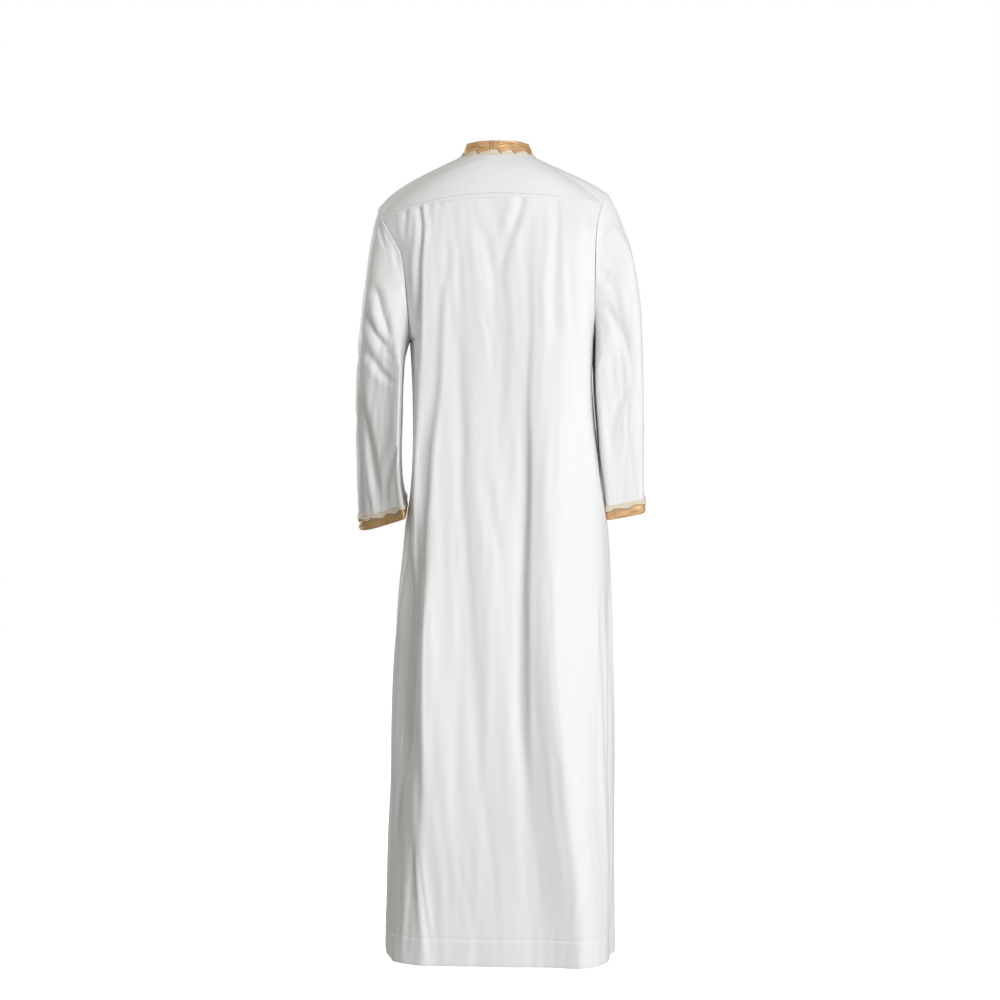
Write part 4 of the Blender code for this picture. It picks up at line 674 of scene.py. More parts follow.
# %% [markdown]
# ## How the back hangs
# Cloth doesn't hang in a smooth oval. It falls straight down from the shoulder blades in flat
# stretches, and turns in steps between them. So each height has a section: a line of corners with a
# flat or a step between two of them. The corners are rounded off, and the row of cloth is laid out
# again along the line, so that its columns stay even.

# %% The section of the back
# From the wearer's left to the right: where each corner stands, and its share of the row's depth.
Section = namedtuple("Section", "height across depth")
SECTIONS = (
    Section(0,
            (0.198, 0.176, 0.148, 0.01, -0.03, -0.053, -0.085, -0.148, -0.176, -0.198, -0.2085),
            (0.61, 0.75, 0.83, 0.9, 0.92, 0.915, 0.925, 1.005, 0.92, 0.66, 0.4)),
    Section(0.13,
            (0.19, 0.172, 0.146, 0.02, -0.022, -0.05, -0.078, -0.142, -0.172, -0.197, -0.208),
            (0.55, 0.71, 0.805, 0.88, 0.9, 0.895, 0.915, 1.03, 0.93, 0.66, 0.41)),
    Section(0.262,
            (0.186, 0.176, 0.144, 0.033, -0.015, -0.043, -0.065, -0.129, -0.16, -0.191, -0.2075),
            (0.44, 0.65, 0.84, 0.865, 0.9, 0.895, 0.925, 1.045, 0.94, 0.66, 0.41)),
    Section(0.373,
            (0.176, 0.164, 0.14, 0.04, -0.002, -0.043, -0.061, -0.12, -0.152, -0.186, -0.207),
            (0.55, 0.7, 0.86, 0.86, 0.89, 0.885, 0.93, 1.06, 0.92, 0.65, 0.41)),
    Section(0.484,
            (0.171, 0.159, 0.1415, 0.048, 0.011, -0.039, -0.0555, -0.108, -0.148, -0.184, -0.206),
            (0.6, 0.73, 0.865, 0.84, 0.885, 0.865, 0.935, 1.065, 0.9, 0.65, 0.41)),
    Section(0.668,
            (0.166, 0.154, 0.139, 0.065, 0.0315, -0.039, -0.054, -0.096, -0.134, -0.174, -0.202),
            (0.62, 0.68, 0.85, 0.83, 0.88, 0.855, 0.93, 1.035, 0.92, 0.67, 0.41)),
    Section(0.761,
            (0.1645, 0.154, 0.132, 0.072, 0.0425, -0.041, -0.0565, -0.087, -0.129, -0.169, -0.2),
            (0.6, 0.62, 0.82, 0.81, 0.86, 0.835, 0.925, 1, 0.93, 0.7, 0.42)),
    Section(0.853,
            (0.1625, 0.149, 0.128, 0.076, 0.052, -0.045, -0.06, -0.083, -0.125, -0.17, -0.191),
            (0.64, 0.65, 0.81, 0.8, 0.85, 0.835, 0.935, 0.99, 0.93, 0.72, 0.45)),
    Section(0.945,
            (0.1585, 0.146, 0.125, 0.0785, 0.0545, -0.043, -0.0605, -0.083, -0.125, -0.166, -0.1795),
            (0.66, 0.665, 0.82, 0.815, 0.865, 0.865, 0.965, 1.005, 0.95, 0.74, 0.48)),
    Section(1.038,
            (0.1535, 0.13, 0.115, 0.081, 0.062, -0.042, -0.06, -0.08, -0.125, -0.16, -0.1715),
            (0.745, 0.765, 0.83, 0.83, 0.865, 0.895, 0.95, 0.985, 0.94, 0.78, 0.52)),
    Section(1.13,
            (0.149, 0.124, 0.11, 0.08, 0.066, -0.048, -0.066, -0.09, -0.125, -0.16, -0.1715),
            (0.825, 0.845, 0.875, 0.88, 0.9, 0.94, 0.98, 0.98, 0.94, 0.8, 0.6)),
    Section(1.222,
            (0.146, 0.12, 0.105, 0.081, 0.067, -0.05, -0.066, -0.09, -0.125, -0.158, -0.172),
            (0.888, 0.897, 0.915, 0.92, 0.94, 0.97, 1, 1, 0.955, 0.86, 0.72)),
    Section(1.37,
            (0.1455, 0.12, 0.105, 0.08, 0.066, -0.05, -0.066, -0.09, -0.125, -0.16, -0.172),
            (0.905, 0.925, 0.935, 0.95, 0.96, 1, 1.005, 1, 0.97, 0.9, 0.8)),
)
CORNER_ROUNDING = (0.008, 0.012, 0.010, 0.018, 0.018, 0.014, 0.010, 0.014, 0.030, 0.030, 0.020)


def rounded_line(corners, rounding):
    """A line through corners in a plane, each rounded off as far as its two sides allow."""
    steps = np.diff(corners, axis=0)
    lengths = np.linalg.norm(steps, axis=1)
    parts = [corners[:1]]
    t = np.linspace(0, 1, 9)[:, None]
    for number, radius in enumerate(rounding, start=1):
        before = min(radius, lengths[number - 1] / 2)
        after = min(radius, lengths[number] / 2)
        start = corners[number] - steps[number - 1] / lengths[number - 1] * before
        end = corners[number] + steps[number] / lengths[number] * after
        parts.append(start * (1 - t) ** 2 + 2 * corners[number] * t * (1 - t) + end * t**2)
    return np.concatenate(parts + [corners[-1:]])


def hung(grid):
    """The smooth back laid out again along the sections. The seams stay where they are."""
    hanging = grid.copy()
    strength = ease(from_top(grid).mean(axis=1), 0.0, 0.080)
    for number, row in enumerate(grid):
        height = row[:, 2].mean()
        across = table_value(SECTIONS, "across", height)
        depth = table_value(SECTIONS, "depth", height) * row[:, 1].max()
        corners = np.concatenate([row[:1, :2], np.stack([across, depth], axis=1), row[-1:, :2]])
        line = rounded_line(corners, CORNER_ROUNDING)
        run, places = lengths_along(line), lengths_along(row[:, :2])
        places = places / places[-1] * run[-1]
        for axis in (0, 1):
            moved = np.interp(places, run, line[:, axis]) - row[:, axis]
            hanging[number, :, axis] += moved * strength[number]
    return hanging


back = hung(back_grid())
print("the back is a grid of", back.shape[0], "rows and", back.shape[1], "columns")

# %% The front, laid out
def front_half_fractions(side, share):
    """Columns of half the front: even at the underarm (share 0). On the top row (share 1) some lie
    along the yoke's front edge and the rest go on evenly to the middle."""
    last = 1 - YOKE_TURN_FRONT
    start = UPPER_START_ANGLE * math.sin(min(2 * math.pi * last, math.pi / 2))
    seam = front_seam(side, np.linspace(1, 0, YOKE_EDGE_COLUMNS + 1))[:, 0] - NECK_SHIFT
    angles = np.arccos((seam / seam[0]) ** (1 / FLATNESS) * math.cos(start))
    at_seam = (angles - start) / (math.pi / 2 - start)
    at_neck = np.linspace(at_seam[-1], 1, NECK_COLUMNS + 1)[1:]
    at_top = np.concatenate([at_seam, at_neck])
    even = np.linspace(0, 1, len(at_top))
    columns = even + (at_top - even) * ease(share, 0, 1)
    beside = np.interp(NEAR_SEAM / HALF_GIRTH * len(at_top), np.arange(len(at_top)), columns)
    return np.concatenate([columns[:1], beside[:2], columns[1:]])


def front_top_line(row):
    """The top edge of the front: yoke seam, neckline, yoke seam, for the columns of the top row."""
    share = np.clip((row[:, 0] - NECK_SHIFT) / NECK_HALF_WIDTH, -1, 1)
    line = neck_point(-np.arccos(share))
    for side, place in ((1, slice(0, EDGE_END)), (-1, slice(len(row) - EDGE_END, None))):
        seam = front_seam(side, np.linspace(1, 0, 400))
        seam = seam[np.argsort(seam[:, 0])]
        line[place] = read_line(row[place, 0], seam[:, 0], seam)
    return line


def below_neck(grid, shares):
    """Bends the rows under the neckline, so that the cloth leaves the neck seam as the yoke does."""
    top = grid[-1]
    inside = slice(EDGE_END - 1, len(top) - EDGE_END + 1)
    neck = top[inside]
    angles = -np.arccos(np.clip((neck[:, 0] - NECK_SHIFT) / NECK_HALF_WIDTH, -1, 1))
    from_corner = np.arange(len(neck)) / (NECK_COLUMNS / 8)
    share = ease(np.minimum(from_corner, from_corner[::-1]), 0, 4)[:, None]
    for back_from_top, level in enumerate(shares[::-1][1:], start=2):
        strength = ease(level, 10 / 12, 11 / 12)
        if strength == 0:
            break
        row = grid[-back_from_top]
        reach = np.linalg.norm(row[inside] - neck, axis=1, keepdims=True)
        row[inside] += (neck + neck_slope(angles) * reach - row[inside]) * share * strength
    return grid


def split_rows(grid):
    """Doubles the middle column, so that the neck slit can open between the two."""
    middle = grid.shape[1] // 2
    beside = np.array([FRONT_OPENING / 2, 0, 0])
    centre = grid[:, middle : middle + 1]
    parts = [grid[:, :middle], centre + beside, centre - beside, grid[:, middle + 1 :]]
    return np.concatenate(parts, axis=1)


def front_grid():
    """The front, rows from hem to the shoulders and neck. Columns from the wearer's left to right."""
    shares = upper_shares()
    at_hem = (front_half_fractions(1, 0.0), front_half_fractions(-1, 0.0))
    rows = [lower_row(height, True, at_hem) for height in lower_heights()]
    columns = [(front_half_fractions(1, share), front_half_fractions(-1, share)) for share in shares]
    upper = [upper_row(share, True, across) for share, across in zip(shares, columns)]
    lift = front_top_line(upper[-1]) - upper[-1]
    upper = [row + lift * ease(share, 0.30, 1.0) ** 1.3 for row, share in zip(upper, shares)]
    from_side = np.concatenate([at_hem[0], at_hem[1][-2::-1]])
    grid = settle(np.array(rows + upper), ease(from_side * SETTLED_COLUMNS["front"], 0, 4))
    return split_rows(below_neck(grid, shares))


EDGE_END = YOKE_EDGE_COLUMNS + 3
front = front_grid()
print("the front is a grid of", front.shape[0], "rows and", front.shape[1], "columns")

# %% The yoke, laid out
YOKE_ROWS = 40
YOKE_ARMHOLE_COLUMNS = 22
YOKE_BACK_FRACTIONS = np.linspace(0, 1, 91)


def yoke_columns():
    """The yoke's outer edge from its left front corner to its right one, with the neck angles."""
    turns = np.linspace(YOKE_TURN_FRONT, YOKE_TURN_BACK, YOKE_ARMHOLE_COLUMNS + 1)
    seam = upper_row(1.0, False, (YOKE_BACK_FRACTIONS, YOKE_BACK_FRACTIONS))
    outer = np.concatenate([armhole_point(1, turns), seam[1:-1], armhole_point(-1, turns[::-1])])
    front_angle, corner = YOKE_NECK_ANGLES
    at_armhole = np.linspace(front_angle, corner, YOKE_ARMHOLE_COLUMNS + 1)
    behind = np.linspace(corner, math.pi - corner, len(seam))
    angles = np.concatenate([at_armhole, behind[1:-1], math.pi - at_armhole[::-1]])
    return outer, angles


def yoke_grid():
    """The yoke, rows from its outer edge up to the neck. Columns from left front to right front."""
    outer, angles = yoke_columns()
    shares = np.linspace(1, 0, YOKE_ROWS + 1)
    shares = np.concatenate([[1.0], 1 - NEAR_SEAM[:2] / 0.12, shares[1:]])
    lines = []
    for end, angle in zip(outer, angles):
        side = 1 if end[0] > 0 else -1
        slopes = neck_slope(angle), shoulder_end_slope(side, angle)
        lines.append(shoulder_line(neck_point(angle), end, *slopes, shares))
    return np.array(lines).transpose(1, 0, 2)


yoke = yoke_grid()
print("the yoke is a grid of", yoke.shape[0], "rows and", yoke.shape[1], "columns")

# %% The sleeves, laid out
SLEEVE_COLUMNS = 124
SLEEVE_PLACES = np.concatenate([[1.0], np.linspace(0.995, 0.02, 146), 0.010 - NEAR_SEAM[::-1], [0.0]])
SLEEVE_PLACES = np.unique(np.clip(SLEEVE_PLACES, 0, 1))[::-1]
SQUARE_OUTER = {1: 2.6, -1: 6.0}
SQUARE_INNER = {1: 16.0, -1: 10.0}
ELBOW_TURN = {1: 0.16, -1: -0.10}
WRIST_TURN = {1: 0.30, -1: 0.06}
INNER_LIFT = {1: 0.018, -1: 0.0}


def between(inner, outer, inward):
    """From the outer value, where inward is -1, to the inner one, where it is 1."""
    return (inner + outer) / 2 + (inner - outer) / 2 * inward


def sleeve_point(side, turn, place):
    """A sleeve's surface: turn as on the armhole, place from 0 at the armhole to 1 at the wrist."""
    rings = SLEEVE_LEFT if side > 0 else SLEEVE_RIGHT
    ring = Ring(place, *(table_value(rings, column, place) for column in Ring._fields[1:]))
    round_angle = 2 * math.pi * np.asarray(turn, float)
    inward, behind = np.cos(round_angle), np.sin(round_angle)
    power = np.where(inward > 0, SQUARE_INNER[side], SQUARE_OUTER[side])
    boxy = (abs(inward) ** power + abs(behind) ** power) ** (-1 / power)
    boxy = 1 + (boxy - 1) * ease(place, 0.0, 0.25)
    inward, behind = inward * boxy, behind * boxy
    x = between(ring.inner, ring.outer, inward)
    y = ring.middle + ring.half_depth * behind
    z = between(ring.inner_height, ring.outer_height, inward) - ring.pitch * behind
    turned = ELBOW_TURN[side] * ease(place, 0.05, 0.50) + WRIST_TURN[side] * ease(place, 0.45, 0.75)
    y = y + turned * (ring.outer - ring.inner) / 2 * inward
    y = y + INNER_LIFT[side] * ease(place, 0.0, 0.18) * np.clip(inward + 0.2, 0, 2) ** 2
    points = np.stack([side * x, y, z], axis=-1)
    first = rings[0]
    flat_edge = between(first.inner, first.outer, np.cos(round_angle))
    bow = armhole_point(side, turn)[..., 0] - side * flat_edge
    points[..., 0] += bow * (1 - ease(place, 0.0, 0.22))
    return points


def sleeve_grid(side):
    """A sleeve, rows from wrist to armhole. Its columns run to the right seen from outside."""
    turns = np.arange(SLEEVE_COLUMNS) / SLEEVE_COLUMNS
    turns = turns if side < 0 else turns[::-1]
    return np.array([sleeve_point(side, turns, place) for place in SLEEVE_PLACES])


print("a sleeve is a grid of", len(SLEEVE_PLACES), "rows and", SLEEVE_COLUMNS, "columns")

# %% [markdown]
# ## Press the folds in
# Each fold moves the cloth along its own normal. Near a seam the cloth is held by the stitches, so
# every fold fades out there, and the pleats begin just under the yoke. Along a side seam the back
# and the front share one direction, so the two edges stay together.

# %% Fades and shared directions
LOWER_ROWS = len(lower_heights())


def held_by_seams(grid):
    """1 inside a panel, 0 at its armholes and its top edge."""
    side = ease(from_sides(grid), 0, 0.032)
    at_armhole = ease(grid[..., 2], UNDERARM_HEIGHT - 0.07, UNDERARM_HEIGHT + 0.02)
    return (1 - (1 - side) * at_armhole) * ease(from_top(grid), 0, 0.022)


def share_side_seams(normals):
    for column in (0, -1):
        both = unit(normals["back"][:LOWER_ROWS, column] + normals["front"][:LOWER_ROWS, column])
        normals["back"][:LOWER_ROWS, column] = both
        normals["front"][:LOWER_ROWS, column] = both


def body_normals(back, front):
    normals = {"back": grid_normals(back), "front": grid_normals(front[:, ::-1])[:, ::-1]}
    share_side_seams(normals)
    return normals


# %% Fold the back and the front
PANEL_WAVES = ((14, 0.050, 0.42, 0.0007), (16, 0.028, 0.24, 0.00035))
LOW_WAVES = ((8, 0.090, 0.70, 0.0012),)


def folded(grid, normals, folds, seed):
    """A panel with its folds, and with the unevenness that real cloth has between them."""
    offset = fold_offset(grid, normals, folds) * held_by_seams(grid)
    across = grid_lengths(grid, 1)
    across = across - across[:, grid.shape[1] // 2][:, None]
    soft = rumple(across, grid[..., 2], seed, PANEL_WAVES + LOW_WAVES)
    offset += soft * ease(from_sides(grid), 0.0, 0.030) * ease(from_top(grid), 0.0, 0.050)
    return grid + normals * offset[..., None]


ALL_BODY_FOLDS = BACK_DRAPE + FRONT_DRAPE + BACK_CREASES + FRONT_CREASES
plain = body_normals(back, front)
back = folded(back, plain["back"], ALL_BODY_FOLDS, 11)
front = folded(front, plain["front"], ALL_BODY_FOLDS, 12)
normals = body_normals(back, front)
print("deepest move on the back:", round(float(np.abs(back - back_grid()).max()) * 1000, 1), "mm")

# %% Seams draw the cloth in
SEAM_DIP = 0.0007
HEM_DIP = 0.0005
HEM_EDGE_DIP = 0.0007
HEM_STEP = 0.0004
SEAM_PUCKER = 0.0004
HEM_PUCKER = 0.0005


def puckers(along, seed):
    """The small uneven gathers along a line of stitches, from -1 to 1."""
    random = np.random.default_rng(seed)
    total = np.zeros_like(along)
    for period in (0.013, 0.019, 0.031):
        phase = random.uniform(0, 2 * math.pi, 2)
        swell = 0.6 + 0.4 * np.sin(2 * math.pi * along / (period * 5.3) + phase[1])
        total += np.sin(2 * math.pi * along / period + phase[0]) * swell / 3
    return total


def dip(distance, reach=0.0022):
    return np.exp(-((distance / reach) ** 2))


def seamed(grid, normals, seed):
    """A long panel drawn in at its side seams, its top seam and the stitch line of its hem."""
    side, top, height = from_sides(grid), from_top(grid), grid[..., 2]
    along = grid_lengths(grid, 1)
    offset = -SEAM_DIP * np.maximum(dip(side), dip(top))
    offset += SEAM_PUCKER * puckers(height, seed) * dip(side, 0.010)
    offset += SEAM_PUCKER * puckers(along, seed + 1) * dip(top, 0.012)
    offset -= HEM_DIP * dip(height - HEM_DEPTH, 0.0016)
    offset += HEM_PUCKER * puckers(along, seed + 2) * dip(height - HEM_DEPTH, 0.014)
    offset += HEM_STEP * ease(HEM_DEPTH - height, 0.001, 0.006)
    offset -= HEM_EDGE_DIP * dip(height, 0.0020)
    return grid + normals * offset[..., None]


back = seamed(back, normals["back"], 21)
front = seamed(front, normals["front"], 24)
normals = body_normals(back, front)
yoke_plain = grid_normals(yoke)
yoke_run = grid_lengths(yoke, 1)
yoke_up = grid_lengths(yoke, 0)
yoke_lift = -0.0004 * dip(yoke_up, 0.0011) + 0.0003 * dip(yoke_up - 0.0045, 0.0030)
yoke_lift += SEAM_PUCKER * puckers(yoke_run, 27) * dip(yoke_up, 0.010)
yoke_lift += rumple(yoke_run, yoke_up * 2, 28, ((10, 0.090, 0.20, 0.0003),)) * ease(yoke_up, 0, 0.03)
yoke = yoke + yoke_plain * (yoke_lift * ease(yoke_up[-1:] - yoke_up, 0, 0.02))[..., None]
print("the seams are drawn in by", SEAM_DIP * 1000, "mm")

# %% Fold the sleeves
SLEEVE_GIRTH = 0.46
HEAD_ROLL, HEAD_DIP, HEAD_PUCKER = 0.0008, 0.0008, 0.0005
SLEEVE_WAVES = ((12, 0.034, 0.16, 0.0007), (12, 0.020, 0.09, 0.0003))
SLEEVE_FOLDS = {
    1: SLEEVE_LEFT_DRAPE + SLEEVE_LEFT_CREASES,
    -1: SLEEVE_RIGHT_DRAPE + SLEEVE_RIGHT_CREASES,
}


def round_waves(turns, up, seed, girth, waves):
    """Unevenness that joins up round a tube: two soft patterns, one fading into the other."""
    share = turns - np.floor(turns)
    one = rumple(share * girth, up, seed, waves)
    two = rumple((share + 1) * girth, up, seed, waves)
    mix = ease(share, 0.0, 0.25)
    return two * (1 - mix) + one * mix


def folded_sleeve(side):
    grid = sleeve_grid(side)
    own = grid_normals(grid, closed=True)
    down = grid_lengths(grid[::-1], 0)[::-1]
    up = grid_lengths(grid, 0)
    held = ease(down, 0.0, 0.030) * ease(up, 0.020, 0.045)
    turns = np.broadcast_to(np.arange(SLEEVE_COLUMNS) / SLEEVE_COLUMNS, up.shape)
    soft = round_waves(turns, up, 30 + side, SLEEVE_GIRTH, SLEEVE_WAVES)
    offset = (fold_offset(grid, own, SLEEVE_FOLDS[side]) + soft) * held
    offset += HEAD_ROLL * dip(down - 0.0035, 0.0030) - HEAD_DIP * dip(down, 0.0012)
    offset += HEAD_PUCKER * puckers(turns * 0.6, 33 + side) * dip(down - 0.004, 0.009)
    grid = grid + own * offset[..., None]
    return grid, grid_normals(grid, closed=True)


sleeves = {side: folded_sleeve(side) for side in (1, -1)}
print("the sleeves are", round(float(grid_lengths(sleeves[1][0], 0)[-1].mean()), 3), "m long")

# %% [markdown]
# ## From a grid to real cloth
# A sheet with no thickness looks like paper and leaves open edges. So each
# piece is a closed shell: the outer grid, the same grid moved in by the cloth's thickness, and a rim
# round the edge. The weave needs to know which way the threads run, so each corner also gets its
# place in the flat cloth, in metres.

# %% Make a shell
def squares(row, next_row, column, next_column, columns):
    """The four corner numbers of each square between two rows and two columns."""
    low, high = row * columns, next_row * columns
    return np.stack([low + column, low + next_column, high + next_column, high + column], axis=1)


def grid_faces(rows, columns, closed, keep):
    """Corner numbers of the squares of a grid, and of their places in the flat cloth."""
    spans = columns if closed else columns - 1
    r, c = np.meshgrid(np.arange(rows - 1), np.arange(spans), indexing="ij")
    if keep is not None:
        r, c = r[keep], c[keep]
    r, c = r.ravel(), c.ravel()
    corners = squares(r, r + 1, c, (c + 1) % columns, columns)
    return corners, squares(r, r + 1, c, c + 1, columns + 1)


def rim_edges(corners, flat, count):
    """The edges that only one square uses."""
    a = corners.ravel()
    b = np.roll(corners, -1, axis=1).ravel()
    lonely = ~np.isin(a.astype(np.int64) * count + b, b.astype(np.int64) * count + a)
    flat_a, flat_b = flat.ravel(), np.roll(flat, -1, axis=1).ravel()
    return a[lonely], b[lonely], flat_a[lonely], flat_b[lonely]


def flat_cloth(outer, closed):
    """Each point's place in the flat cloth, with one more column where a tube closes."""
    joined = np.concatenate([outer, outer[:, :1]], axis=1) if closed else outer
    across = grid_lengths(joined, 1)
    across = across - across[:, -1:] / 2
    up = grid_lengths(joined, 0).mean(axis=1, keepdims=True) + np.zeros_like(across)
    places = np.stack([across, up], axis=-1)
    if not closed:
        places = np.concatenate([places, places[:, -1:]], axis=1)
    return places.reshape(-1, 2)


def shell(name, outer, inner, closed=False, keep=None):
    """A closed shell between two grids of points, shaded smooth, with its place in the flat cloth."""
    rows, columns = outer.shape[:2]
    count = rows * columns
    corners, flat = grid_faces(rows, columns, closed, keep)
    a, b, flat_a, flat_b = rim_edges(corners, flat, count)
    rims = np.stack([b, a, a + count, b + count], axis=1)
    quads = np.concatenate([corners, corners[:, ::-1] + count, rims])
    places = np.concatenate([flat, flat[:, ::-1], np.stack([flat_b, flat_a, flat_a, flat_b], axis=1)])
    points = np.concatenate([outer.reshape(-1, 3), inner.reshape(-1, 3)]) - (0, 0, NECK_HEIGHT)
    used = np.unique(quads)
    renumber = np.zeros(2 * count, int)
    renumber[used] = np.arange(len(used))
    return mesh_piece(name, points[used], renumber[quads], flat_cloth(outer, closed)[places.ravel()])


def mesh_piece(name, points, quads, grain=None):
    """A mesh object from points and four-cornered faces."""
    mesh = bpy.data.meshes.new(name)
    mesh.vertices.add(len(points))
    mesh.vertices.foreach_set("co", np.asarray(points, np.float32).ravel())
    mesh.loops.add(quads.size)
    mesh.loops.foreach_set("vertex_index", quads.astype(np.int32).ravel())
    mesh.polygons.add(len(quads))
    mesh.polygons.foreach_set("loop_start", np.arange(0, quads.size, 4, dtype=np.int32))
    mesh.polygons.foreach_set("loop_total", np.full(len(quads), 4, np.int32))
    mesh.update(calc_edges=True)
    if grain is not None:
        layer = mesh.uv_layers.new(name="grain")
        layer.data.foreach_set("uv", np.asarray(grain, np.float32).ravel())
    mesh.shade_smooth()
    mesh.set_sharp_from_angle(angle=math.radians(60))
    piece = bpy.data.objects.new(name, mesh)
    bpy.context.scene.collection.objects.link(piece)
    return piece


def wear(piece, material, slot, *nodes):
    """Gives a piece its finish and its place in the frame."""
    piece.data.materials.append(material)
    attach(piece, "root")
    if nodes:
        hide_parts(*nodes)
    return piece


def trim(grid, low_rows=0.0, high_rows=0.0, low_columns=0.0, high_columns=0.0):
    """Moves the edges of a grid inwards, to leave room for the seams."""
    grid = grid.copy()
    grid[0] += low_rows * unit(grid[1] - grid[0])
    grid[-1] += high_rows * unit(grid[-2] - grid[-1])
    grid[:, 0] += low_columns * unit(grid[:, 1] - grid[:, 0])
    grid[:, -1] += high_columns * unit(grid[:, -2] - grid[:, -1])
    return grid


print("each piece is a shell", CLOTH * 1000, "mm thick")

# %% [markdown]
# ## Finishes
# The robe has four cloths, white satin, gold satin, ivory braid and bronze cord, and is sewn with
# white and brown thread. The bronze is dark partly as painted shadow along the braid's scallops. All
# are woven, plaited or spun, so one node group makes threads for all of them, from the place of each
# point in the flat cloth. A second group makes the slow unevenness that every cloth has. The groups
# put out only values and heights, and each material feeds them to its own shader.

# %% Node helpers
def new_group(name, inputs, outputs):
    """An empty shader group with float sockets."""
    group = bpy.data.node_groups.new(name, "ShaderNodeTree")
    for socket, value in inputs:
        made = group.interface.new_socket(socket, in_out="INPUT", socket_type="NodeSocketFloat")
        made.default_value = value
    for socket in outputs:
        group.interface.new_socket(socket, in_out="OUTPUT", socket_type="NodeSocketFloat")
    return group, group.nodes.new("NodeGroupInput"), group.nodes.new("NodeGroupOutput")


def math_node(tree, operation, *values):
    """A Math node. Each value is a number or a socket."""
    node = tree.nodes.new("ShaderNodeMath")
    node.operation = operation
    for socket, value in zip(node.inputs, values):
        if hasattr(value, "links"):
            tree.links.new(value, socket)
        else:
            socket.default_value = value
    return node.outputs[0]


def flat_place(tree):
    """Across and up in the flat cloth, in metres."""
    source = tree.nodes.new("ShaderNodeUVMap")
    source.uv_map = "grain"
    parts = tree.nodes.new("ShaderNodeSeparateXYZ")
    tree.links.new(source.outputs["UV"], parts.inputs[0])
    return parts.outputs["X"], parts.outputs["Y"]


def noise_at(tree, across, up, detail=2.0):
    """Noise read at a place that has been stretched by hand."""
    joined = tree.nodes.new("ShaderNodeCombineXYZ")
    tree.links.new(across, joined.inputs[0])
    tree.links.new(up, joined.inputs[1])
    noise = tree.nodes.new("ShaderNodeTexNoise")
    noise.noise_dimensions = "2D"
    noise.inputs["Scale"].default_value = 1.0
    noise.inputs["Detail"].default_value = detail
    tree.links.new(joined.outputs[0], noise.inputs["Vector"])
    return noise.outputs[0]


# %% The woven threads
def threads_group():
    """Threads that cross: warp threads up the cloth, weft threads across, and a twill step."""
    pitches = ("Warp pitch", 0.0006), ("Weft pitch", 0.0008), ("Twill", 0.5)
    group, given, result = new_group("woven threads", pitches, ("Height", "Tone"))
    across, up = flat_place(group)
    warp_turn = math_node(group, "DIVIDE", across, given.outputs["Warp pitch"])
    weft_turn = math_node(group, "DIVIDE", up, given.outputs["Weft pitch"])
    step = math_node(group, "MULTIPLY", weft_turn, given.outputs["Twill"])
    warp = math_node(group, "SINE", math_node(group, "MULTIPLY", warp_turn, 2 * math.pi))
    slanted = math_node(group, "ADD", warp_turn, step)
    weft = math_node(group, "SINE", math_node(group, "MULTIPLY", slanted, math.pi))
    crossing = math_node(group, "MULTIPLY", warp, 0.5)
    height = math_node(group, "ADD", crossing, math_node(group, "MULTIPLY", weft, 0.5))
    group.links.new(height, result.inputs["Height"])
    tone = math_node(group, "MULTIPLY_ADD", height, 0.5, 0.5)
    group.links.new(tone, result.inputs["Tone"])
    return group


def slub_group():
    """Slow unevenness: streaks along the warp, and soft clouds."""
    sizes = ("Streak width", 0.004), ("Streak length", 0.08), ("Cloud size", 0.12)
    group, given, result = new_group("slub and clouds", sizes, ("Streaks", "Clouds"))
    across, up = flat_place(group)
    thin = math_node(group, "DIVIDE", across, given.outputs["Streak width"])
    long = math_node(group, "DIVIDE", up, given.outputs["Streak length"])
    group.links.new(noise_at(group, thin, long), result.inputs["Streaks"])
    wide = math_node(group, "DIVIDE", across, given.outputs["Cloud size"])
    tall = math_node(group, "DIVIDE", up, given.outputs["Cloud size"])
    group.links.new(noise_at(group, wide, tall, 3.0), result.inputs["Clouds"])
    return group


THREADS = threads_group()
SLUB = slub_group()
print("groups:", THREADS.name, "and", SLUB.name)

# %% A cloth material
def mixed_colour(tree, factor, dark, light):
    mix = tree.nodes.new("ShaderNodeMix")
    mix.data_type = "RGBA"
    mix.inputs["A"].default_value = (*dark, 1)
    mix.inputs["B"].default_value = (*light, 1)
    tree.links.new(factor, mix.inputs["Factor"])
    return mix.outputs["Result"]


def ranged(tree, value, low, high, new_low, new_high):
    node = tree.nodes.new("ShaderNodeMapRange")
    tree.links.new(value, node.inputs["Value"])
    ends = {"From Min": low, "From Max": high, "To Min": new_low, "To Max": new_high}
    for name, number in ends.items():
        node.inputs[name].default_value = number
    return node.outputs["Result"]


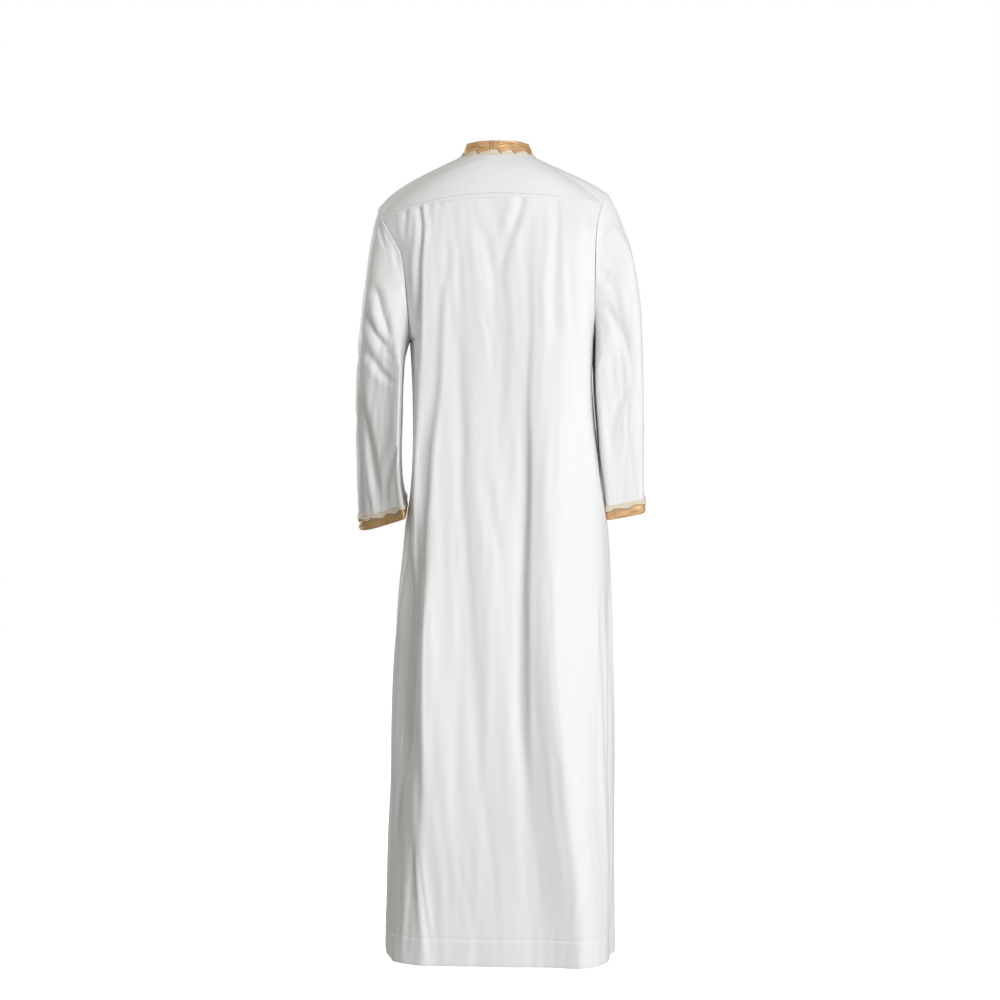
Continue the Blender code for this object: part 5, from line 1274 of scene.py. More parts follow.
def cloth_material(name, dark, light, rough, weave, slub, depth, **shader_values):
    """A woven finish. dark and light are its two tones, and rough is the range of its roughness."""
    material = bpy.data.materials.new(name)
    material.use_nodes = True
    tree = material.node_tree
    shader = tree.nodes["Principled BSDF"]
    threads = tree.nodes.new("ShaderNodeGroup")
    threads.node_tree = THREADS
    for socket, value in zip(threads.inputs, weave):
        socket.default_value = value
    uneven = tree.nodes.new("ShaderNodeGroup")
    uneven.node_tree = SLUB
    for socket, value in zip(uneven.inputs, slub):
        socket.default_value = value
    tone = math_node(tree, "MULTIPLY_ADD", threads.outputs["Tone"], 0.35, 0.0)
    streaks = uneven.outputs["Streaks"]
    tone = math_node(tree, "MULTIPLY_ADD", streaks, 0.35, tone)
    tone = math_node(tree, "MULTIPLY_ADD", uneven.outputs["Clouds"], 0.30, tone)
    tree.links.new(mixed_colour(tree, tone, dark, light), shader.inputs["Base Color"])
    tree.links.new(ranged(tree, streaks, 0.3, 0.7, *rough), shader.inputs["Roughness"])
    height = math_node(tree, "MULTIPLY_ADD", streaks, 0.6, threads.outputs["Height"])
    bump = tree.nodes.new("ShaderNodeBump")
    bump.inputs["Strength"].default_value = 0.35
    bump.inputs["Distance"].default_value = depth
    tree.links.new(height, bump.inputs["Height"])
    tree.links.new(bump.outputs["Normal"], shader.inputs["Normal"])
    for socket, value in shader_values.items():
        shader.inputs[socket.replace("_", " ")].default_value = value
    return material


WHITE_SATIN = cloth_material(
    "white_satin_cloth", (0.83, 0.835, 0.845), (0.89, 0.895, 0.905), (0.50, 0.60),
    (0.00045, 0.0006, 0.25), (0.0045, 0.10, 0.16), 0.000025,
    Specular_IOR_Level=0.35, Sheen_Weight=0.06, Sheen_Roughness=0.45,
)
GOLD_SATIN = cloth_material(
    "gold_satin_cloth", (0.62, 0.37, 0.16), (0.95, 0.63, 0.34), (0.54, 0.60),
    (0.0007, 0.0011, 0.5), (0.003, 0.02, 0.04), 0.00004,
    Metallic=0.8, Specular_IOR_Level=0.6, Coat_Weight=0.3, Coat_Roughness=0.5,
)
IVORY_BRAID = cloth_material(
    "ivory_braid_cloth", (0.64, 0.55, 0.41), (0.92, 0.85, 0.72), (0.50, 0.70),
    (0.0012, 0.0009, 0.5), (0.002, 0.006, 0.03), 0.00018,
    Specular_IOR_Level=0.4, Sheen_Weight=0.15, Sheen_Roughness=0.5,
)
# Bronze for the cords and strokes at the scallops. It is dark partly as painted shadow along the
# braid's scalloped edges.
BRONZE_AND_PAINTED_SHADOW = cloth_material(
    "bronze_cord_cloth", (0.12, 0.075, 0.035), (0.30, 0.19, 0.09), (0.35, 0.55),
    (0.0006, 0.0006, 0.5), (0.002, 0.004, 0.02), 0.00012,
    Metallic=0.3, Specular_IOR_Level=0.5,
)
WHITE_THREAD = cloth_material(
    "white_thread", (0.84, 0.845, 0.86), (0.93, 0.935, 0.95), (0.40, 0.55),
    (0.0003, 0.0003, 0.5), (0.001, 0.004, 0.02), 0.00004,
)
BROWN_THREAD = cloth_material(
    "brown_thread", (0.10, 0.055, 0.025), (0.20, 0.115, 0.055), (0.45, 0.60),
    (0.0003, 0.0003, 0.5), (0.001, 0.004, 0.02), 0.00004,
)
finishes = [m.name for m in bpy.data.materials if m.name.endswith(("cloth", "thread"))]
print("finishes:", ", ".join(finishes))

# %% [markdown]
# ## The white cloth
# The back, the front, the yoke and the two sleeves. The hem is turned up 50 mm, so the cloth is twice
# as thick there. Every piece replaces the solid of the same part of the cut.

# %% The back
def inside_of(grid, normals, thickness):
    return grid - normals * np.broadcast_to(np.asarray(thickness), grid.shape[:2])[..., None]


def hem_thickness(grid):
    """Two layers of cloth below the stitch line of the hem."""
    return CLOTH + CLOTH * ease(HEM_DEPTH - grid[..., 2], -0.0005, 0.0010)


gap = SEAM_GAP / 2
back = trim(back, 0, gap, gap, gap)
back_cloth = shell("back_cloth", back, inside_of(back, normals["back"], hem_thickness(back)))
wear(back_cloth, WHITE_SATIN, "white_satin", "back_panel")
print("back:", len(back_cloth.data.polygons) * 2, "triangles")

# %% The front
outside = trim(front, 0, gap, gap, gap)[:, ::-1]
facing = normals["front"][:, ::-1]
keep = np.ones((outside.shape[0] - 1, outside.shape[1] - 1), bool)
middle_column = outside.shape[1] // 2 - 1
slit_foot = NECK_HEIGHT - NECK_DROP - SLIT_LENGTH
keep[outside[:-1, middle_column, 2] > slit_foot, middle_column] = False
inside = inside_of(outside, facing, hem_thickness(outside))
front_cloth = shell("front_cloth", outside, inside, keep=keep)
wear(front_cloth, WHITE_SATIN, "white_satin", "front_panel")
print("front:", len(front_cloth.data.polygons) * 2, "triangles")

# %% The yoke
yoke = trim(yoke, gap, gap, gap, gap)
yoke_facing = grid_normals(yoke)
yoke_cloth = shell("yoke_cloth", yoke, inside_of(yoke, yoke_facing, CLOTH))
wear(yoke_cloth, WHITE_SATIN, "white_satin", "back_yoke")
print("yoke:", len(yoke_cloth.data.polygons) * 2, "triangles")

# %% The sleeves
SIDES = {1: "left", -1: "right"}
for side, (grid, own) in sleeves.items():
    grid = trim(grid, 0, gap)
    sleeves[side] = grid, own
    piece = shell(f"sleeve_{SIDES[side]}_cloth", grid, inside_of(grid, own, CLOTH), closed=True)
    wear(piece, WHITE_SATIN, "white_satin", f"sleeve_{SIDES[side]}")
print("a sleeve:", len(piece.data.polygons) * 2, "triangles")

# %% [markdown]
# ## The placket
# The front is slit from the neck so that the robe goes on over the head. A strip of doubled cloth
# covers the slit, left over right. It lies on the front panel's own surface, so its points are read
# off the front's rows and moved out by a thickness that rounds off at the edges.

# %% The placket
PLACKET_CLOTH = 0.0011
OVERLAP_STEP = 0.0005
PLACKET_COLUMNS = 65
BRAID_ON_CLOTH = 0.0055
BRAID_CLOTH = 0.0009


def across_front(values, centre_values, spots):
    """Reads a row of the front at places across it, measured from its middle."""
    x = centre_values[::-1, 0]
    middle = len(x) // 2
    at = (x[middle - 1] + x[middle]) / 2 + spots
    return read_line(at, x, values[::-1])


spots = np.linspace(-PLACKET_HALF_WIDTH, PLACKET_HALF_WIDTH, PLACKET_COLUMNS)
middle = front.shape[1] // 2
from_neck = lengths_along(front[::-1, middle])[::-1]
rows = np.flatnonzero((from_neck > BRAID_ON_CLOTH + 0.0028) & (from_neck < PLACKET_LENGTH))
under = np.array([across_front(front[row], front[row], spots) for row in rows])
out = unit(np.array([across_front(normals["front"][row], front[row], spots) for row in rows]))
from_edge = PLACKET_HALF_WIDTH - np.abs(spots)
down = (from_neck[rows] - from_neck[rows[-1]])[:, None]
thick = PLACKET_CLOTH * (0.4 + 0.6 * ease(from_edge, 0, 0.0012)) * np.ones_like(down)
thick = thick + OVERLAP_STEP * ease(spots, -0.0050, -0.0044)
thick = thick - 0.0003 * dip(from_edge - 0.0028, 0.0007)
thick = thick + 0.00015 * puckers(down, 61) * dip(from_edge - 0.003, 0.004)
thick = thick + rumple(spots, down, 62, ((8, 0.016, 0.12, 0.0004),)) * ease(from_edge, 0, 0.006)
placket = under + out * (LAID_ON + np.maximum(thick, 0.0004))[..., None]
placket_cloth = shell("placket_cloth", placket, under + out * LAID_ON)
wear(placket_cloth, WHITE_SATIN, "white_satin", "placket")
print("placket:", round(float(down[0, 0] * 1000)), "mm long")

# %% [markdown]
# ## The stand collar
# The collar is two halves of stiffened gold satin that meet in a seam at the back. A collar could be
# a strip bent round a circle, but this one leans in as it rises and dips at the front, so each level
# is worked out from the neck seam. The top edge is a fold, so it is round. The left half is finished
# with a narrow strip beside the seam, and worn satin keeps faint creases along its length.

# %% The collar's levels
NECK_ANGLES = np.linspace(math.radians(-90), math.radians(270), 721)
NECK_RUN = lengths_along(neck_point(NECK_ANGLES))
BACK_SEAM_RUN = float(np.interp(COLLAR_SEAM_ANGLE, NECK_ANGLES, NECK_RUN))
BACK_STRIP = 0.0062
STRIP_STEP = 0.0007
COLLAR_SEAM_DIP = 0.0007
FRONT_ENDS = 0.0007
COLLAR_ROWS = 34
COLLAR_UNEVEN = ((10, 0.070, 0.005, 0.0006), (8, 0.045, 0.06, 0.0007), (8, 0.018, 0.006, 0.0002))


def collar_row(angles, rise):
    """A level of the collar: rise 0 at the neck seam and 1 at the top, leaning in as it goes up."""
    side, behind = np.cos(angles), np.sin(angles)
    lean = np.where(behind > 0, COLLAR_LEAN_BACK, COLLAR_LEAN_FRONT) * behind**2
    lean = lean + COLLAR_LEAN_SIDE * side**2
    inward = np.stack([-side, -behind, np.zeros_like(angles)], axis=-1)
    up = np.array([0, 0, COLLAR_HEIGHT * rise])
    return neck_point(angles) + inward * (lean * rise)[:, None] + up


def collar_distances(reach):
    """Distances from the back seam: close together beside it and at the strip's edge, then even."""
    near = [SEAM_GAP / 2, 0.0004, 0.0008, 0.0013, 0.0020, 0.0030, 0.0042, 0.0052, 0.0057]
    near += [0.0060, 0.0063, 0.0067, 0.0073, 0.0081]
    return np.concatenate([near, np.linspace(0.0091, reach, round((reach - 0.0091) / 0.0011))])


print("the neck seam is", round(NECK_RUN[-1] * 1000), "mm long")
print("the collar's back seam is", round(BACK_SEAM_RUN * 1000), "mm along it")

# %% The two halves
def make_collar(side):
    """Half of the stand collar: 1 the wearer's left, -1 the right."""
    reach = BACK_SEAM_RUN if side > 0 else NECK_RUN[-1] - BACK_SEAM_RUN
    away = collar_distances(reach - FRONT_ENDS)
    away = away[::-1] if side > 0 else away
    run = BACK_SEAM_RUN - side * away
    angles = np.interp(run, NECK_RUN, NECK_ANGLES)
    half = COLLAR_CLOTH / 2
    rises = np.linspace(0, 1 - half / COLLAR_HEIGHT, COLLAR_ROWS)
    levels = np.array([collar_row(angles, rise) for rise in rises])
    out = grid_normals(levels)
    up = rises[:, None] * COLLAR_HEIGHT
    lift = rumple(run[None], up, 70 + side, COLLAR_UNEVEN)
    lift = lift * ease(up, 0.007, 0.013) * ease(away, 0.002, 0.012)
    lift = lift - COLLAR_SEAM_DIP * dip(away, 0.0009)
    if side > 0:
        lift = lift + STRIP_STEP * (1 - ease(away, BACK_STRIP - 0.0005, BACK_STRIP + 0.0002))
    middle = levels + out * (lift - half)[..., None]
    tip = unit(middle[-1] - middle[-3])
    sides = []
    for turns in (np.radians((15, 30, 45, 60, 75, 86)), np.radians((165, 150, 135, 120, 105, 94))):
        top = [middle[-1] + half * (out[-1] * math.cos(t) + tip * math.sin(t)) for t in turns]
        wall = middle + out * half * math.copysign(1, math.cos(turns[0]))
        sides.append(np.concatenate([wall, top]))
    for wall in sides:
        wall[0, :, 2] = levels[0, :, 2] + SEAM_GAP
    name = "left" if side > 0 else "right"
    piece = shell(f"collar_{name}_cloth", *sides)
    return wear(piece, GOLD_SATIN, "gold_cloth", f"collar_{name}"), sides[0], out


collars = {side: make_collar(side) for side in (1, -1)}
print("collar half:", len(collars[1][0].data.polygons) * 2, "triangles")

# %% [markdown]
# ## The scalloped braid
# A narrow ivory braid covers the neck seam. Its lower edge lies on the yoke and its upper edge climbs
# the collar in a row of uneven scallops, like small breaking waves. It could be a curve with a
# profile, but a profile can't change its height along the way, so the braid is a grid: one direction
# runs round the neck and the other crosses the braid, round the bend between yoke and collar.

# %% The braid's surface
BRAID_LOW = 0.0016
BRAID_HIGH = 0.0068
BRAID_BEND = 0.0022
SCALLOP_LEAN = 1.9
BRAID_JOINTS = np.radians((-88.5, -70, -45, -10, 24, 59, 94, 117, 148, 180, 212, 240, 262, 268.5))
BRAID_JOINT_RUNS = np.interp(BRAID_JOINTS, NECK_ANGLES, NECK_RUN)


def scallop(share):
    """The height of a scallop from one joint (0) to the next (1): it leans over like a wave."""
    return np.sin(math.pi * np.clip(share, 0, 1) ** SCALLOP_LEAN) ** 0.8


def scallop_height(run, joints):
    low = np.clip(np.searchsorted(joints, run) - 1, 0, len(joints) - 2)
    share = (run - joints[low]) / (joints[low + 1] - joints[low])
    return BRAID_LOW + (BRAID_HIGH - BRAID_LOW) * scallop(share)


def on_braid(run, from_seam, away):
    """A point by its place round the neck, its distance up from the neck seam, and its height."""
    angles = np.interp(run, NECK_RUN, NECK_ANGLES)
    neck, slope = neck_point(angles), neck_slope(angles)
    along = unit(neck_point(angles + 0.01) - neck_point(angles - 0.01))
    up = unit(collar_row(angles, 1.0) - neck)
    on_yoke, on_collar = unit(np.cross(along, -slope)), unit(np.cross(along, up))
    turn = ((from_seam + BRAID_BEND) / (2 * BRAID_BEND)).clip(0, 1)[:, None]
    bent = BRAID_BEND * (slope * (1 - turn) ** 2 + up * turn**2)
    down_yoke, up_collar = ((way * from_seam - BRAID_BEND).clip(0)[:, None] for way in (-1, 1))
    beyond = slope * down_yoke + up * up_collar
    out = unit(on_yoke * (1 - turn) + on_collar * turn)
    return neck + bent + beyond + out * np.reshape(away, (-1, 1)), out


print("the braid has", len(BRAID_JOINTS) - 1, "scallops")

# %% The collar braid
BRAID_COLUMNS, BRAID_ROWS = 640, 27
BRAID_EDGE = 0.00025
BRAID_RIDGE = 0.00030


def braid_thickness(from_low, from_high, width_share):
    """Rounded edges and four cords that run along the braid."""
    body = ease(from_low, 0, 0.0010) * ease(from_high, 0, 0.0010)
    ridges = BRAID_RIDGE * np.sin(4 * math.pi * width_share) ** 2
    return BRAID_EDGE + body * (BRAID_CLOTH - BRAID_EDGE + ridges)


run = np.linspace(BRAID_JOINT_RUNS[0], BRAID_JOINT_RUNS[-1], BRAID_COLUMNS)
crest = scallop_height(run, BRAID_JOINT_RUNS)
outer, inner = [], []
for share in np.linspace(0, 1, BRAID_ROWS):
    from_seam = -BRAID_ON_CLOTH + share * (BRAID_ON_CLOTH + crest)
    thick = braid_thickness(from_seam + BRAID_ON_CLOTH, crest - from_seam, share)
    outer.append(on_braid(run, from_seam, LAID_ON + thick)[0])
    inner.append(on_braid(run, from_seam, LAID_ON * 0.6 + 0 * run)[0])
collar_braid_cloth = shell("collar_braid_cloth", np.array(outer), np.array(inner))
wear(collar_braid_cloth, IVORY_BRAID, "ivory_braid", "collar_braid")
print("collar braid:", len(collar_braid_cloth.data.polygons) * 2, "triangles")

# %% Cords
CORD_SIDES = 8
CORD_WIDE, CORD_TALL = 0.00055, 0.00050
CORD_GIRTH = 0.006


def cord_faces(rings, sides, closed):
    """Faces round a cord, and over its two ends if it isn't a loop."""
    r, c = np.meshgrid(np.arange(rings if closed else rings - 1), np.arange(sides), indexing="ij")
    r, c = r.ravel(), c.ravel()
    faces = squares(r, (r + 1) % rings, c, (c + 1) % sides, sides)
    if closed:
        return faces
    # an end with eight corners is covered by three squares
    cap = np.array([(0, 1, 2, 7), (7, 2, 3, 6), (6, 3, 4, 5)])
    return np.concatenate([faces, cap[:, ::-1], cap + (rings - 1) * sides])


def cord_body(points, out, wide, tall, closed=False):
    """Points, faces and grain of a cord along a line. It is wide across the cloth and tall off it."""
    sides = CORD_SIDES
    if closed:
        along = unit(np.roll(points, -1, axis=0) - np.roll(points, 1, axis=0))
    else:
        along = unit(np.gradient(points, axis=0))
    across = unit(np.cross(out, along))
    turns = 2 * math.pi * np.arange(sides) / sides
    wide, tall = np.reshape(wide, (-1, 1, 1)), np.reshape(tall, (-1, 1, 1))
    to_side, off_cloth = np.cos(turns)[:, None], np.sin(turns)[:, None]
    ring = across[:, None] * wide * to_side + out[:, None] * tall * off_cloth
    run = np.repeat(lengths_along(points), sides)
    round_it = np.tile(turns / (2 * math.pi) * CORD_GIRTH, len(points))
    body = (points[:, None] + ring).reshape(-1, 3)
    return body, cord_faces(len(points), sides, closed), np.stack([round_it, run], 1)


def join_bodies(name, bodies):
    """One piece from several bodies of (points, faces, grain)."""
    starts = np.cumsum([0] + [len(body[0]) for body in bodies])
    quads = np.concatenate([faces + start for (_, faces, _), start in zip(bodies, starts)])
    points = np.concatenate([body[0] for body in bodies]) - (0, 0, NECK_HEIGHT)
    grain = np.concatenate([body[2] for body in bodies])
    return mesh_piece(name, points, quads, grain[quads.ravel()])


print("a cord has", CORD_SIDES, "sides")

# %% Dark bronze strokes where the scallops meet, as painted shadow under each scallop's end
def sewn_on(name, bodies, material, slot):
    """One piece of thread or cord, from its bodies."""
    return wear(join_bodies(name, bodies), material, slot)


SHADOW_TACK_POINTS = 17
SHADOW_TACK_HALF_LENGTH = 0.0036
SHADOW_TACK_WIDE, SHADOW_TACK_TALL = 0.0011, 0.0008
SHADOW_TACK_TOP, SHADOW_TACK_DROP = 0.0062, 0.0106
# Each stroke is a thin dark cord laid slanting across a joint of the braid: painted shadow where one
# scallop's end overlaps the next.
shadow_tacks = []
for number, joint in enumerate(BRAID_JOINT_RUNS[1:-1]):
    share = np.linspace(0, 1, SHADOW_TACK_POINTS)
    size = 1 + 0.16 * math.sin(2.3 * number)
    run_there = joint + size * SHADOW_TACK_HALF_LENGTH * (2 * share - 1)
    height = SHADOW_TACK_TOP - SHADOW_TACK_DROP * (share + 0.10 * np.sin(2 * math.pi * share))
    swell = np.sin(math.pi * (0.06 + 0.88 * share)) ** 0.7
    line, out = on_braid(run_there, height, LAID_ON + BRAID_CLOTH + 0.0001)
    shadow_tacks.append(cord_body(line, out, SHADOW_TACK_WIDE * size * swell, SHADOW_TACK_TALL * swell))
collar_painted_shadows = sewn_on("collar_painted_shadow_tacks", shadow_tacks, BRONZE_AND_PAINTED_SHADOW, "ivory_braid")
print("tacks:", len(shadow_tacks))

# %% [markdown]
# ## The cuffs
# Each sleeve ends in a band of the collar's gold satin, with the same scalloped braid over its upper
# edge and a fine bronze cord along the scallops, dark partly as painted shadow under the braid's edge.
# The band is laid on the sleeve, so its points are the sleeve's own, moved out. Points are added
# between the sleeve's columns, on smooth curves.

# %% The end of a sleeve, made finer
CUFF_CLOTH = 0.0010
CUFF_WAVE = 0.038
FINER = 3
CUFF_SEAM_DIP = 0.0006
BAND_ROWS = 19
CUFF_BRAID_ROWS = 25
CUFF_UNEVEN = ((8, 0.05, 0.012, 0.0006),)
CUFF_SEAMS = {1: 0.2115, -1: -0.2155}


def finer_columns(values):
    """Closed rows with two more points between each pair, on a smooth curve through them."""
    before, after, later = (np.roll(values, shift, axis=1) for shift in (1, -1, -2))
    parts = []
    for step in range(FINER):
        t = step / FINER
        bend = (2 * before - 5 * values + 4 * after - later) * t**2
        twist = (3 * values - before - 3 * after + later) * t**3
        parts.append(0.5 * (2 * values + (after - before) * t + bend + twist))
    return np.stack(parts, axis=2).reshape(values.shape[0], -1, 3)


def sleeve_end(side):
    """The last part of a sleeve: its points, its ways out, and how far up each row is."""
    grid, own = sleeves[side]
    last = np.flatnonzero(SLEEVE_PLACES > 0.90)
    points = finer_columns(grid[last])
    return points, unit(finer_columns(own[last])), grid_lengths(points, 0)


def read_up(values, up, at):
    """Reads each column of a grid at its own distance up from the first row."""
    index = np.stack([np.interp(at[c], up[:, c], np.arange(len(up))) for c in range(up.shape[1])])
    low = np.clip(index.astype(int), 0, len(up) - 2)
    share = (index - low)[:, None]
    columns = np.arange(up.shape[1])
    return values[low, columns] * (1 - share) + values[low + 1, columns] * share


print("a cuff has", SLEEVE_COLUMNS * FINER, "columns")

# %% Gold bands, braids and cords, the cords dark partly as painted shadow
def ring_lengths(ring):
    return lengths_along(np.concatenate([ring, ring[:1]]))


def make_cuff(side):
    points, own, up = sleeve_end(side)
    places = SLEEVE_PLACES[: len(up)][::-1]
    top = np.array([np.interp(BAND_TOP, places, column) for column in up[::-1].T])
    run = ring_lengths(points[0])
    girth = run[-1]
    run = run[:-1]
    behind = own[0][:, 1] > 0.2
    seam = int(np.argmin(np.abs(points[0][:, 0] - CUFF_SEAMS[side]) + np.where(behind, 0, 1)))
    from_seam = np.abs((run - run[seam] + girth / 2) % girth - girth / 2)

    band, under = [], []
    for share in np.linspace(0.0, 1.0, BAND_ROWS):
        height = share * (top - 0.0003) + 0.0001
        base, way = read_up(points, up, height), unit(read_up(own, up, height))
        rounded = 0.45 + 0.55 * ease(height, 0, 0.0011) * ease(top - height, 0, 0.0006)
        soft = round_waves(run / girth, height, 80 + side, girth, CUFF_UNEVEN)
        thick = CUFF_CLOTH * rounded - CUFF_SEAM_DIP * dip(from_seam, 0.0008)
        thick = thick + soft * ease(height, 0.001, 0.006)
        thick = thick * ease(height, -0.004, 0.0)
        band.append(base + way * (LAID_ON + np.maximum(thick, 0.0003))[:, None])
        under.append(base + way * LAID_ON)
    name = SIDES[side]
    band, under = np.array(band), np.array(under)
    gold = shell(f"cuff_band_{name}_cloth", band, under, closed=True)
    wear(gold, GOLD_SATIN, "gold_cloth", f"cuff_band_{name}")

    waves = round(girth / CUFF_WAVE)
    joints = np.linspace(0, girth, waves + 1)
    crest = scallop_height((run - run[seam]) % girth, joints)
    braid, below = [], []
    for share in np.linspace(0, 1, CUFF_BRAID_ROWS):
        above = -crest + share * (crest + BRAID_ON_CLOTH)
        base, way = read_up(points, up, top + above), unit(read_up(own, up, top + above))
        on_band = LAID_ON + (LAID_ON + CUFF_CLOTH + 0.0004) * (1 - ease(above, -0.0004, 0.0012))
        thick = braid_thickness(above + crest, BRAID_ON_CLOTH - above, share)
        braid.append(base + way * (on_band + thick)[:, None])
        below.append(base + way * on_band[:, None])
    braid, below = np.array(braid), np.array(below)
    ivory = shell(f"cuff_braid_{name}_cloth", braid, below, closed=True)
    wear(ivory, IVORY_BRAID, "ivory_braid", f"cuff_braid_{name}")

    # A dark bronze cord along the braid's scalloped edge. Its dark colour is partly painted shadow
    # under the braid's edge.
    line = read_up(points, up, top - crest - 0.0004)
    way = unit(read_up(own, up, top - crest))
    line = line + way * (2 * LAID_ON + CUFF_CLOTH + 0.0005)
    cord = cord_body(line, way, CORD_WIDE, CORD_TALL, closed=True)
    cord = sewn_on(f"cuff_cord_and_painted_shadow_{name}", [cord], BRONZE_AND_PAINTED_SHADOW, "ivory_braid")
    return {"band": gold, "braid": ivory, "cord": cord, "seam": seam, "grid": band}


cuffs = {side: make_cuff(side) for side in (1, -1)}
print("cuff band:", len(cuffs[1]["band"].data.polygons) * 2, "triangles")

# %% [markdown]
# ## The stitches
# Thread dives in and out of the cloth, so a line of sewing is a row of small raised dashes. A dashed
# bump in the material would look flat from close up, so each dash is a tiny closed body and a whole
# line of them is one object. The lines are read off the same grids as the cloth.

# %% Lines of stitches
STITCH_PITCH = 0.0030
STITCH_LENGTH, STITCH_WIDTH, STITCH_HEIGHT = 0.0021, 0.00050, 0.00032
STITCH_LOOK = 0.0004
STITCH_POINTS = 16
STITCH_SECTIONS = ((-0.5, 0.45, 0.35), (-0.3, 1, 1), (0.3, 1, 1), (0.5, 0.45, 0.35))
STITCH_CORNERS = ((-0.5, -0.4), (-0.32, 1.0), (0.32, 1.0), (0.5, -0.4))


def stitch_row(line, ways, pitch=STITCH_PITCH, size=1.0):
    """Points, faces and grain of one line of stitches."""
    run = lengths_along(line)
    count = max(round(run[-1] / pitch), 1)
    at = (np.arange(count) + 0.5) * run[-1] / count
    place = read_line(at, run, line)
    along = unit(read_line(at + STITCH_LOOK, run, line) - read_line(at - STITCH_LOOK, run, line))
    out = unit(read_line(at, run, ways))
    across = unit(np.cross(out, along))
    corners = []
    for step, wide, tall in STITCH_SECTIONS:
        for side, rise in STITCH_CORNERS:
            reach = along * step * STITCH_LENGTH + across * side * wide * STITCH_WIDTH
            corners.append(place + (reach + out * rise * tall * STITCH_HEIGHT) * size)
    points = np.stack(corners, axis=1)
    faces = [(4 * i + j, 4 * i + 4 + j, 4 * i + 4 + (j + 1) % 4, 4 * i + (j + 1) % 4)
             for i in range(3) for j in range(4)]
    faces = np.array(faces + [(0, 1, 2, 3), (15, 14, 13, 12)])
    quads = (faces[None] + STITCH_POINTS * np.arange(count)[:, None, None]).reshape(-1, 4)
    round_it = np.tile(np.arange(STITCH_POINTS) % 4 * 0.0002, count)
    grain = np.stack([round_it, np.repeat(at, STITCH_POINTS)], axis=1)
    return points.reshape(-1, 3), quads, grain


def row_above(grid, ways, distance, from_end=False):
    """The line at a distance from the first row of a grid, or from its last."""
    if from_end:
        grid, ways = grid[::-1], ways[::-1]
    up = grid_lengths(grid, 0)
    at = np.full(grid.shape[1], distance)
    return read_up(grid, up, at), read_up(ways, up, at)


def row_at_height(grid, ways, height):
    up = grid[..., 2]
    at = np.full(grid.shape[1], height)
    return read_up(grid, up, at), read_up(ways, up, at)


def looped(line, ways):
    return np.concatenate([line, line[:1]]), np.concatenate([ways, ways[:1]])


print("a stitch is", STITCH_LENGTH * 1000, "mm of every", STITCH_PITCH * 1000)

# %% Sew the white cloth
HEM_STITCHES = HEM_DEPTH - 0.0016
sewn_back = [stitch_row(*row_at_height(back, normals["back"], HEM_STITCHES))]
sewn_front = [stitch_row(*row_at_height(front, normals["front"], HEM_STITCHES))]
sewn_yoke = [stitch_row(*row_above(yoke, yoke_facing, 0.0022))]
back_stitches = sewn_on("back_stitches", sewn_back, WHITE_THREAD, "white_satin")
front_stitches = sewn_on("front_stitches", sewn_front, WHITE_THREAD, "white_satin")
yoke_stitches = sewn_on("yoke_stitches", sewn_yoke, WHITE_THREAD, "white_satin")
for side, (grid, own) in sleeves.items():
    row = stitch_row(*looped(*row_above(grid, own, 0.0026, from_end=True)))
    name = f"sleeve_{SIDES[side]}_stitches"
    sewn_on(name, [row], WHITE_THREAD, "white_satin")
placket_out = grid_normals(placket)
rows_sewn = []
for column in (4, len(spots) - 5):
    rows_sewn.append(stitch_row(placket[:, column], placket_out[:, column]))
for distance in (0.0030, 0.0220):
    line, ways = row_above(placket, placket_out, distance)
    rows_sewn.append(stitch_row(line[5:-5], ways[5:-5]))
placket_stitches = sewn_on("placket_stitches", rows_sewn, WHITE_THREAD, "white_satin")
white_rows = sewn_back + sewn_front + sewn_yoke + rows_sewn
print("stitches:", sum(len(body[0]) // STITCH_POINTS for body in white_rows))

# %% Sew the collar and the cuffs
_, left_wall, left_out = collars[1]
left_away = collar_distances(BACK_SEAM_RUN - FRONT_ENDS)[::-1]
seam_lines = []
for distance in (0.0009, BACK_STRIP + 0.0004):
    column = int(np.argmin(np.abs(left_away - distance)))
    seam_lines.append(stitch_row(left_wall[12:33, column], left_out[12:33, column], 0.0026, 1.7))
collar_stitches = sewn_on("collar_stitches", seam_lines, BROWN_THREAD, "gold_cloth")
for side, cuff in cuffs.items():
    band = cuff["grid"]
    ways = grid_normals(band, closed=True)
    lines = [stitch_row(*looped(*row_above(band, ways, 0.0021)), size=0.9)]
    for step in (-1, 2):
        column = (cuff["seam"] + step) % band.shape[1]
        lines.append(stitch_row(band[1:14, column], ways[1:14, column], 0.0024, 0.9))
    sewn_on(f"cuff_stitches_{SIDES[side]}", lines, BROWN_THREAD, "gold_cloth")
seam_stitches = len(seam_lines[0][0]) // STITCH_POINTS
print("the back seam of the collar has two rows of", seam_stitches, "stitches")

# %% [markdown]
# ## The sleeve pieces
# Each sleeve piece is looked up by name and paired with its cuff.

# %% The sleeve pieces
sleeve_pieces = {side: bpy.data.objects[f"sleeve_{name}_cloth"] for side, name in SIDES.items()}
for side, name in SIDES.items():
    sleeve, cuff = sleeve_pieces[side], cuffs[side]

# %% [markdown]
# ## Camera, light and floor
# The robe is seen from straight behind, at the height of the hips. One large soft light stands behind
# and to the wearer's right, so the folds turn grey towards the left. The world gives an even light
# from all round. The floor and the sky are plain white to the camera, and duller to the cloth, so
# that they don't wash out its folds.

# %% The camera
scene = bpy.context.scene
scene.view_settings.view_transform = "Standard"
camera_data = bpy.data.cameras.new("camera")
camera_data.lens = 83.4
camera_data.sensor_width = 36
camera = bpy.data.objects.new("camera", camera_data)
camera.location = (0, 4.4, -0.650)
camera.rotation_euler = (math.radians(90), 0, math.radians(180))
scene.collection.objects.link(camera)
scene.camera = camera
print("the camera is", camera.location.y, "m behind the robe")

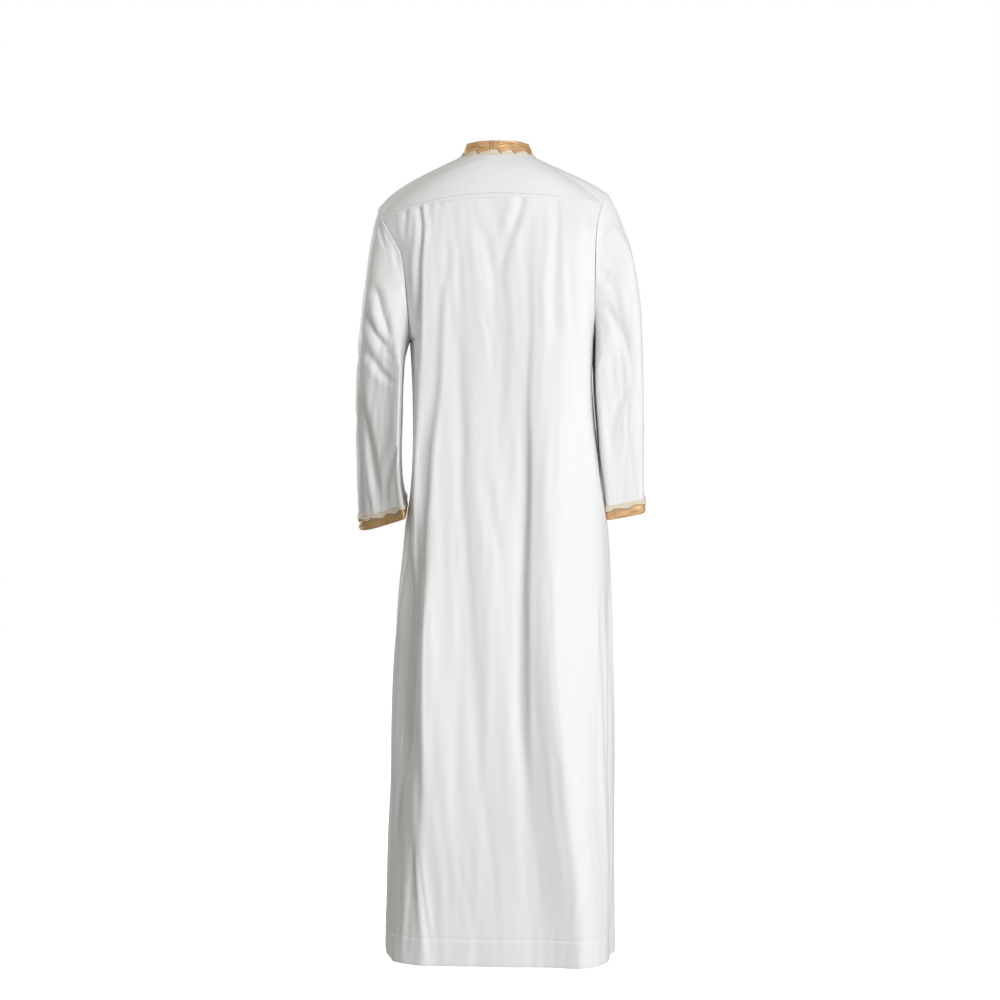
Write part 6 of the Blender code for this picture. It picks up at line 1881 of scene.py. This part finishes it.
# %% The lights
def area_light(name, place, target, size, power, colour=(1, 1, 1)):
    """A soft light panel that faces a point."""
    data = bpy.data.lights.new(name, "AREA")
    data.shape = "RECTANGLE"
    data.size, data.size_y = size
    data.energy = power
    data.color = colour
    light = bpy.data.objects.new(name, data)
    light.location = place
    away = mathutils.Vector(target) - mathutils.Vector(place)
    light.rotation_euler = away.to_track_quat("-Z", "Y").to_euler()
    scene.collection.objects.link(light)
    return light


MIDDLE = (0, 0, -0.7)
area_light("key", (-2.45, 4.65, -0.60), MIDDLE, (2.6, 3.2), 245, (0.975, 0.985, 1.0))
area_light("side", (-4.2, -0.1, -0.40), MIDDLE, (2.0, 3.0), 34, (0.99, 0.99, 1.0))
area_light("top", (1.3, 0.6, 2.6), MIDDLE, (2.0, 2.0), 19, (1.0, 0.985, 0.95))
area_light("front_fill", (2.2, -3.6, 0.4), MIDDLE, (2.5, 2.5), 70)

# %% The sky
def shown_to_camera(tree, others, seen, output):
    """The camera sees one shader, and the light that reaches the cloth comes from another."""
    path = tree.nodes.new("ShaderNodeLightPath")
    mix = tree.nodes.new("ShaderNodeMixShader")
    for source, socket in zip((path.outputs["Is Camera Ray"], others, seen), mix.inputs):
        tree.links.new(source, socket)
    tree.links.new(mix.outputs[0], tree.nodes[output].inputs[0])


world = bpy.data.worlds.new("studio")
scene.world = world
world.use_nodes = True
tree = world.node_tree
background = tree.nodes["Background"]
background.inputs["Color"].default_value = (1.0, 0.975, 0.905, 1)
background.inputs["Strength"].default_value = 0.315
white = tree.nodes.new("ShaderNodeBackground")
white.inputs["Color"].default_value = (1, 1, 1, 1)
shown_to_camera(tree, background.outputs[0], white.outputs[0], "World Output")
print("the sky lights the robe at strength", background.inputs["Strength"].default_value)

# %% The floor
FLOOR_HALF = 12.0
FLOOR_LEVEL = -NECK_HEIGHT - 0.070
floor_mesh = bpy.data.meshes.new("floor")
ways = (-1, -1), (1, -1), (1, 1), (-1, 1)
corners = [(x * FLOOR_HALF, y * FLOOR_HALF, FLOOR_LEVEL) for x, y in ways]
floor_mesh.from_pydata(corners, [], [(0, 1, 2, 3)])
floor = bpy.data.objects.new("floor", floor_mesh)
scene.collection.objects.link(floor)
floor_paint = bpy.data.materials.new("studio_floor")
floor_paint.use_nodes = True
tree = floor_paint.node_tree
shader = tree.nodes["Principled BSDF"]
shader.inputs["Base Color"].default_value = (0.82, 0.82, 0.82, 1)
shader.inputs["Roughness"].default_value = 0.8
glow = tree.nodes.new("ShaderNodeEmission")
glow.inputs["Strength"].default_value = 0.90
dull = tree.nodes.new("ShaderNodeBsdfDiffuse")
dull.inputs["Color"].default_value = (0.40, 0.393, 0.372, 1)
add = tree.nodes.new("ShaderNodeAddShader")
tree.links.new(shader.outputs[0], add.inputs[0])
tree.links.new(glow.outputs[0], add.inputs[1])
shown_to_camera(tree, dull.outputs[0], add.outputs[0], "Material Output")
floor_mesh.materials.append(floor_paint)
print("the floor is", round(-FLOOR_LEVEL - NECK_HEIGHT, 3), "m below the hem")
